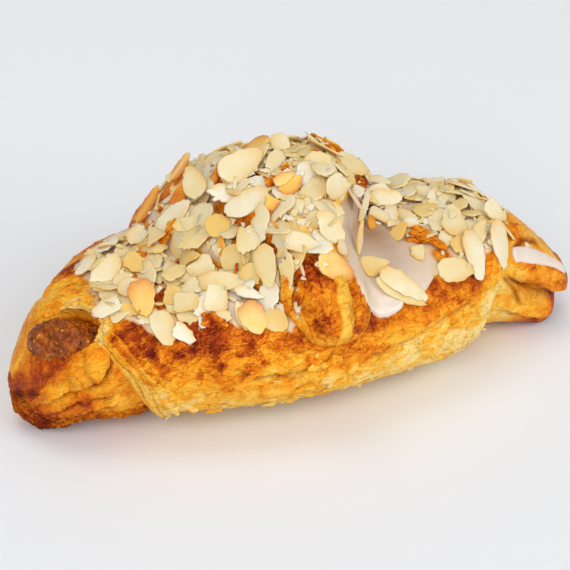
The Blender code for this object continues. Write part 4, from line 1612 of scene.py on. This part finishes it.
# Slices laid one by one, the lowest first: x, angle, length, width, spin in its plane in degrees, how far
# it is tipped forward in degrees, broken edges (-1 is a square piece), tint, and "t" where it is toasted
LAID = [
    (-21, 108, 11, 7, 60, 34, 0, 0.45, ""), (-24, 127, 9, 6, 30, 40, 1, 0.75, ""),
    (-27, 119, 12, 4, 42, 55, 1, 0.9, "t"), (-41, 126, 9, 5, 20, 40, 1, 0.3, ""),
    (-13, 94, 15, 9, 20, 28, 0, 0.35, ""), (32, 92, 11, 7.5, 5, 28, 1, 0.2, ""),
    (-46.5, 86, 8, 7.5, 30, 26, 2, 1.0, ""), (-57, 77, 8.5, 6.5, 10, 12, 0, 0.6, ""),
    (-55, 88, 14, 7, 42, 26, 1, 0.35, ""), (-52, 69, 7, 5.5, -20, 8, 1, 0.5, ""),
    (-51.5, 60, 7.5, 6, -10, 4, 1, 0.4, ""), (-58.5, 46, 13.5, 5, 2, 4, 1, 0.15, ""),
    (-49.5, 46, 12.5, 7.3, -99, 3, 0, 0.35, "t"), (-24, 75, 7.5, 7, 0, 20, 0, 1.05, ""),
    (-10.5, 71, 8.5, 5, 35, 14, 2, 0.5, "t"), (-2.5, 76, 8, 5, 20, 14, 0, 0.45, "t"),
    (-3.8, 79, 7, 3.6, 13, 22, 0, 0.2, "t"), (-38.5, 58, 9, 7, 40, 4, 2, 0.7, ""),
    (-30, 57, 13.5, 6.5, -12, 4, 2, 0.45, ""), (-27.5, 43, 15.5, 5.6, -22, 3, 1, 0.5, ""),
    (-20.4, 43, 8, 6.4, 55, 3, 1, 0.8, ""), (-15.7, 45, 12.3, 6.6, -97, 4, 0, 0.55, ""),
    (-11.4, 40, 11, 4.4, -105, 12, 1, 0.6, ""), (-47, 26, 11, 6.6, -88, 2, 0, 0.4, ""),
    (-43, 22.5, 11, 4.8, -50, 5, 1, 0.0, ""), (-39, 37, 7, 6, -24, 3, -1, 0.5, ""),
    (-31, 35, 8.2, 6.4, 70, 4, -1, 0.3, ""), (-30.5, 26, 6, 3.4, -5, 6, 1, 0.5, ""),
    (-17, 20.5, 7.5, 6.5, -45, 2, 0, 0.85, ""), (-23, 24, 10, 7.4, -76, 4, 0, 0.15, "t"),
    (-22.5, 32, 9, 3.6, -30, 10, 1, -0.1, ""), (3, 53, 11, 7.6, -58, 5, 1, 0.35, ""),
    (-6, 48, 15, 6, -28, 4, 1, 0.3, ""), (9.3, 70, 11.5, 7, 10, 14, 1, 0.35, ""),
    (4.5, 45, 8.5, 5.2, -10, 3, 2, 0.3, ""), (0.5, 37.5, 12.5, 8, -33, 2, 0, 0.25, "t"),
    (-3, 39, 5, 2, -12, 5, 1, -0.1, ""), (12.5, 53, 11, 3.4, -98, 24, 1, 0.4, ""),
    (22, 68, 8, 3, -50, 30, 1, 0.7, "t"), (27, 72, 7.5, 4.6, -35, 14, -1, 0.4, ""),
    (30.5, 63, 10.5, 5, -110, 8, 2, 0.5, ""), (35, 60, 7, 6.5, -10, 8, 3, 0.0, ""),
    (43, 74, 8, 6.6, 0, 14, 0, 0.8, ""), (32.5, 37, 7, 5.6, -25, 3, 1, 0.55, ""),
    (63.5, 60, 10, 8, 30, 10, 1, 0.3, ""), (48.5, 55, 13, 7.8, 66, 6, 0, 0.5, ""),
    (46.3, 37, 8, 4.6, 45, 4, 0, 0.9, ""), (55, 43, 8.5, 4.6, 50, 4, 0, 0.5, ""),
    (41.5, 23, 12.3, 7.6, -6, 3, 0, 0.5, ""), (50, 29, 16, 7.4, -96, 4, 0, 0.15, ""),
    (60, 33, 14.5, 7.8, -95, 4, 0, 0.25, ""), (16, 34.5, 9, 6.6, 0, 2, 0, 0.75, ""),
    (21, 21.5, 16.5, 5.6, -38, 2, 0, 0.6, ""), (22.4, 23.5, 17.5, 6, -38, 6, 0, 0.35, ""),
    (-58, 116, 9, 6, 20, 6, 1, 0.2, ""), (-52, 128, 12, 6, 8, 4, 1, 0.1, ""),
    (-46, 138, 11, 6, -10, 4, 2, 0.3, ""),
]


def lay_by_hand(surface, pale, toasted):
    random = np.random.default_rng(23)
    for x, degrees, length, width, spin, forward, breaks, tint, kind in LAID:
        outline, whole = slice_outline(random, length, width, breaks)
        bend = random.normal() * 0.35
        thickness = random.uniform(0.6, 0.85)
        local, margin = slice_points(outline, whole, thickness, bend, random.normal() * 0.3)
        placed = lay_slice(surface, local, x, math.radians(degrees), math.radians(spin),
                           math.radians(forward), toward=-math.pi / 2, embed=0.07)
        (toasted if kind else pale).add(placed, margin, tint)


# Toasted slices that stand on edge behind: x, y, z of the foot, length, width, rise in degrees, tint
UPRIGHT = [
    (-38.3, 22, 42.8, 13, 5.8, 55, 0.6),
    (-31.0, 22, 48.2, 15, 3.0, 50, 1.0),
    (-26.8, 22, 55.0, 9.5, 5, 53, 0.2),
]


def stand_upright(toasted):
    random = np.random.default_rng(27)
    for x, y, z, length, width, rise, tint in UPRIGHT:
        outline, whole = slice_outline(random, length, width, 0)
        local, _ = slice_points(outline, whole, 0.7, 0.5, 0.4)
        u = np.array([math.cos(math.radians(rise)), 0, math.sin(math.radians(rise))])
        v = np.array([0.0, 1.0, 0.0])
        placed = np.array([x, y, z]) + u * length * 0.45 + local @ np.array([u, v, np.cross(u, v)])
        toasted.add(placed, np.clip(2.4 * np.abs(local[:, 1]) / width, 0, 1), tint)


def scatter_chips(surface, chips, count, seed):
    """Splinters and crumbs of broken almond."""
    random = np.random.default_rng(seed)
    for spot in spots_for(random, surface, count):
        length = random.uniform(1.8, 5.5)
        outline, whole = slice_outline(random, length, length * random.uniform(0.3, 0.8), 4)
        local, margin = slice_points(outline, whole, random.uniform(0.4, 0.7), 0.0, 0.0)
        lean = small_lean(random, 15)
        placed = lay_slice(surface, local, *spot, any_way(random), lean, any_way(random), embed=0.3)
        chips.add(placed, margin, 0.35 + 0.25 * random.normal())


# ---------------------------------------------------------------- loose flakes of pastry

def ragged_outline(random, length, width):
    turn = np.linspace(0, 2 * math.pi, SIDES, endpoint=False)
    outline = np.stack([length / 2 * np.cos(turn), width / 2 * np.sin(turn)], -1)
    thrice = np.tile(random.normal(size=SIDES), 3)
    wobble = np.convolve(thrice, [0.3, 0.6, 1, 0.6, 0.3], "same")[SIDES:2 * SIDES]
    return outline * (1 + 0.18 * wobble + 0.05 * random.normal(size=SIDES))[:, None]


def crumple(random, local, amount, size=2.5):
    shift = random.uniform(-50, 50, 3)
    local = local.copy()
    local[:, 2] += amount * fractal(local * np.array([1, 1, 0]) + shift, size, 3, 700)
    return local


# Large toasted flakes of pastry among the almonds: x, angle, length, width, spin in degrees
LARGE_CRUMBS = [
    (37, 46, 12.5, 6.5, -42), (-12.5, 33, 9, 3.4, 80), (-9.5, 31, 8, 3, 60), (-33.5, 25, 7, 5, -40),
    (-35, 95, 7, 4, 20), (20, 112, 11, 5, -20),
]


def lay_crumb(random, surface, crumbs, x, angle, length, width, spin):
    outline = ragged_outline(random, length, width)
    thickness = random.uniform(0.6, 1.1)
    local, _ = slice_points(outline, np.ones(SIDES), thickness, random.normal() * 0.6, 0.3)
    local = crumple(random, local, 0.5)
    placed = lay_slice(surface, local, x, angle, spin, small_lean(random, 8), any_way(random),
                       embed=0.2)
    crumbs.add(placed, 0.62 + 0.08 * random.normal() + 0.25 * fractal(placed, 3, 3, 45), 0.0)


CRUMB_COUNT = 26


def scatter_crumbs(surface, crumbs):
    """Toasted flakes of pastry among the almonds."""
    random = np.random.default_rng(41)
    for spot in spots_for(random, surface, CRUMB_COUNT):
        if abs(spot[0]) < 50:
            length = random.uniform(2, 6)
            width = length * random.uniform(0.3, 0.6)
            lay_crumb(random, surface, crumbs, *spot, length, width, any_way(random))


def lay_large_crumbs(surface, crumbs):
    random = np.random.default_rng(43)
    for x, degrees, length, width, spin in LARGE_CRUMBS:
        lay_crumb(random, surface, crumbs, x, math.radians(degrees), length, width, math.radians(spin))


SHRED_COUNT = 80


def shred_spots(random, count):
    """x and angle of shreds: most low at the front, the rest a little higher."""
    x = random.uniform(-50, 52, count)
    low = random.random(count) < 0.6
    return x, np.where(low, random.uniform(-34, -10, count), random.uniform(-10, 6, count))


def scatter_shreds(shreds):
    """Papery shreds that peel off the crust low at the front, shorter to the right."""
    random = np.random.default_rng(51)
    x, degrees = shred_spots(random, SHRED_COUNT)
    face = wrap_face(x, np.radians(degrees))
    radius = wrap_radius(x, face.angle) + face.relief
    for i in range(SHRED_COUNT):
        length = 1.0 + (4.5 - 3.3 * float(smoothstep(0, 22, x[i]))) * random.random() ** 2
        outline = ragged_outline(random, length, length * random.uniform(0.35, 0.7))
        local, _ = slice_points(outline, np.ones(SIDES), 0.18, random.normal() * 0.2, 0.1)
        local = crumple(random, local, 0.25, 1.5)
        axes = local_axes(face.angle[i])
        middle = (radius[i] + 0.05) * axes[2] + np.array([x[i], 0, AXIS_HEIGHT])
        axes = tilt_axes(axes, random.uniform(0.03, 0.3), math.pi / 2 + random.normal() * 0.5)
        spin = random.normal() * 0.5
        u = math.cos(spin) * axes[0] + math.sin(spin) * axes[1]
        placed = middle + local @ np.array([u, np.cross(axes[2], u), axes[2]])
        placed[:, 2] = np.maximum(placed[:, 2], 0.3)
        bake = face.bake[i] - 0.10 + 0.08 * random.normal()
        shreds.add(placed, np.full(len(placed), bake), 0.0)


# ---------------------------------------------------------------- stage

# Soft square lights: name, place and aim in m, side in m, watts, colour
LIGHTS = [
    ("key", (-1.25, -1.8, 1.75), (0, 0, 0.02), 1.95, 35.0, (1.0, 0.98, 0.945)),
    ("fill", (1.3, -1.75, 1.3), (0, 0, 0.02), 1.75, 23.5, (1.0, 0.985, 0.955)),
    ("top", (-0.2, 0.25, 1.6), (0, 0, 0.03), 0.8, 4.6, (1.0, 0.985, 0.955)),
]
WORLD_COLOUR, WORLD_STRENGTH = (1.0, 0.98, 0.94, 1), 0.39
FLOOR_HALF = 3.0        # m


# The camera, in mm: it turns round the target and aims a little below it
TARGET = np.array([0.0, 0.0, 28.0])
AZIMUTH, ELEVATION = math.radians(-22), math.radians(32)
DISTANCE = 600.0
LENS = 127.3
AIM_DOWN = 3.0          # mm below the target, so that the croissant sits a little high in the picture


def make_camera():
    back = np.array([
        math.sin(AZIMUTH) * math.cos(ELEVATION),
        -math.cos(AZIMUTH) * math.cos(ELEVATION),
        math.sin(ELEVATION),
    ])
    right = np.array([math.cos(AZIMUTH), math.sin(AZIMUTH), 0])
    place = (TARGET + OFFSET + back * DISTANCE) * MM
    aim = (TARGET + OFFSET - np.cross(back, right) * AIM_DOWN) * MM
    data = bpy.data.cameras.new("camera")
    data.lens = LENS
    data.clip_end = 10
    bpy.context.scene.camera = add_to_scene("camera", data, place, aim)


def make_floor():
    mesh = bpy.data.meshes.new("floor")
    shape = bmesh.new()
    bmesh.ops.create_grid(shape, x_segments=2, y_segments=2, size=FLOOR_HALF)
    shape.to_mesh(mesh)
    shape.free()
    mesh.materials.append(floor_material())
    add_to_scene("floor", mesh)


def make_light(name, place, aim, side, power, colour):
    data = bpy.data.lights.new(name, "AREA")
    data.shape = "SQUARE"
    data.size = side
    data.energy = power
    data.color = colour
    add_to_scene(name, data, place, aim)


def make_stage():
    scene = bpy.context.scene
    scene.view_settings.view_transform = "Standard"
    scene.cycles.use_denoising = True
    world = bpy.data.worlds.new("world")
    world.use_nodes = True
    background = world.node_tree.nodes["Background"].inputs
    background["Color"].default_value = WORLD_COLOUR
    background["Strength"].default_value = WORLD_STRENGTH
    scene.world = world
    for light in LIGHTS:
        make_light(*light)
    make_floor()
    make_camera()


# ---------------------------------------------------------------- everything

def make_topping(surface, crust):
    """The almonds and flakes of pastry, in the order in which they lie."""
    pale, toasted, chips, crumbs = Pile(), Pile(), Pile(), CrumbPile()
    scatter_slices(surface, pale, toasted)
    scatter_chips(surface, chips, count=150, seed=31)
    scatter_crumbs(surface, crumbs)
    lay_by_hand(surface, pale, toasted)
    stand_upright(toasted)
    lay_large_crumbs(surface, crumbs)
    scatter_chips(surface, chips, count=110, seed=33)
    cream = almond_material("almond_cream", *CREAM)
    pale.finish("almond_slices", cream, "almond", ["almond_topping"])
    chips.finish("almond_chips", cream, "almond")
    brown = almond_material("almond_toasted", *TOASTED)
    toasted.finish("almond_slices_toasted", brown, "toasted_almond")
    crumbs.finish("pastry_crumbs", crust, "pastry")


def main():
    crust = crust_material()
    make_core(crust)
    make_wrap(crust)
    for band in BANDS:
        make_band(*band, crust)
    make_filling(filling_material())
    surface = Surface()
    icing = icing_material()
    make_icing(surface, icing)
    for run in RUNS:
        make_icing_run(*run, icing)
    make_topping(surface, crust)
    shreds = CrumbPile()
    scatter_shreds(shreds)
    shreds.finish("pastry_shreds", crust, "pastry")
    make_stage()


main()
bpy.context.view_layer.update()
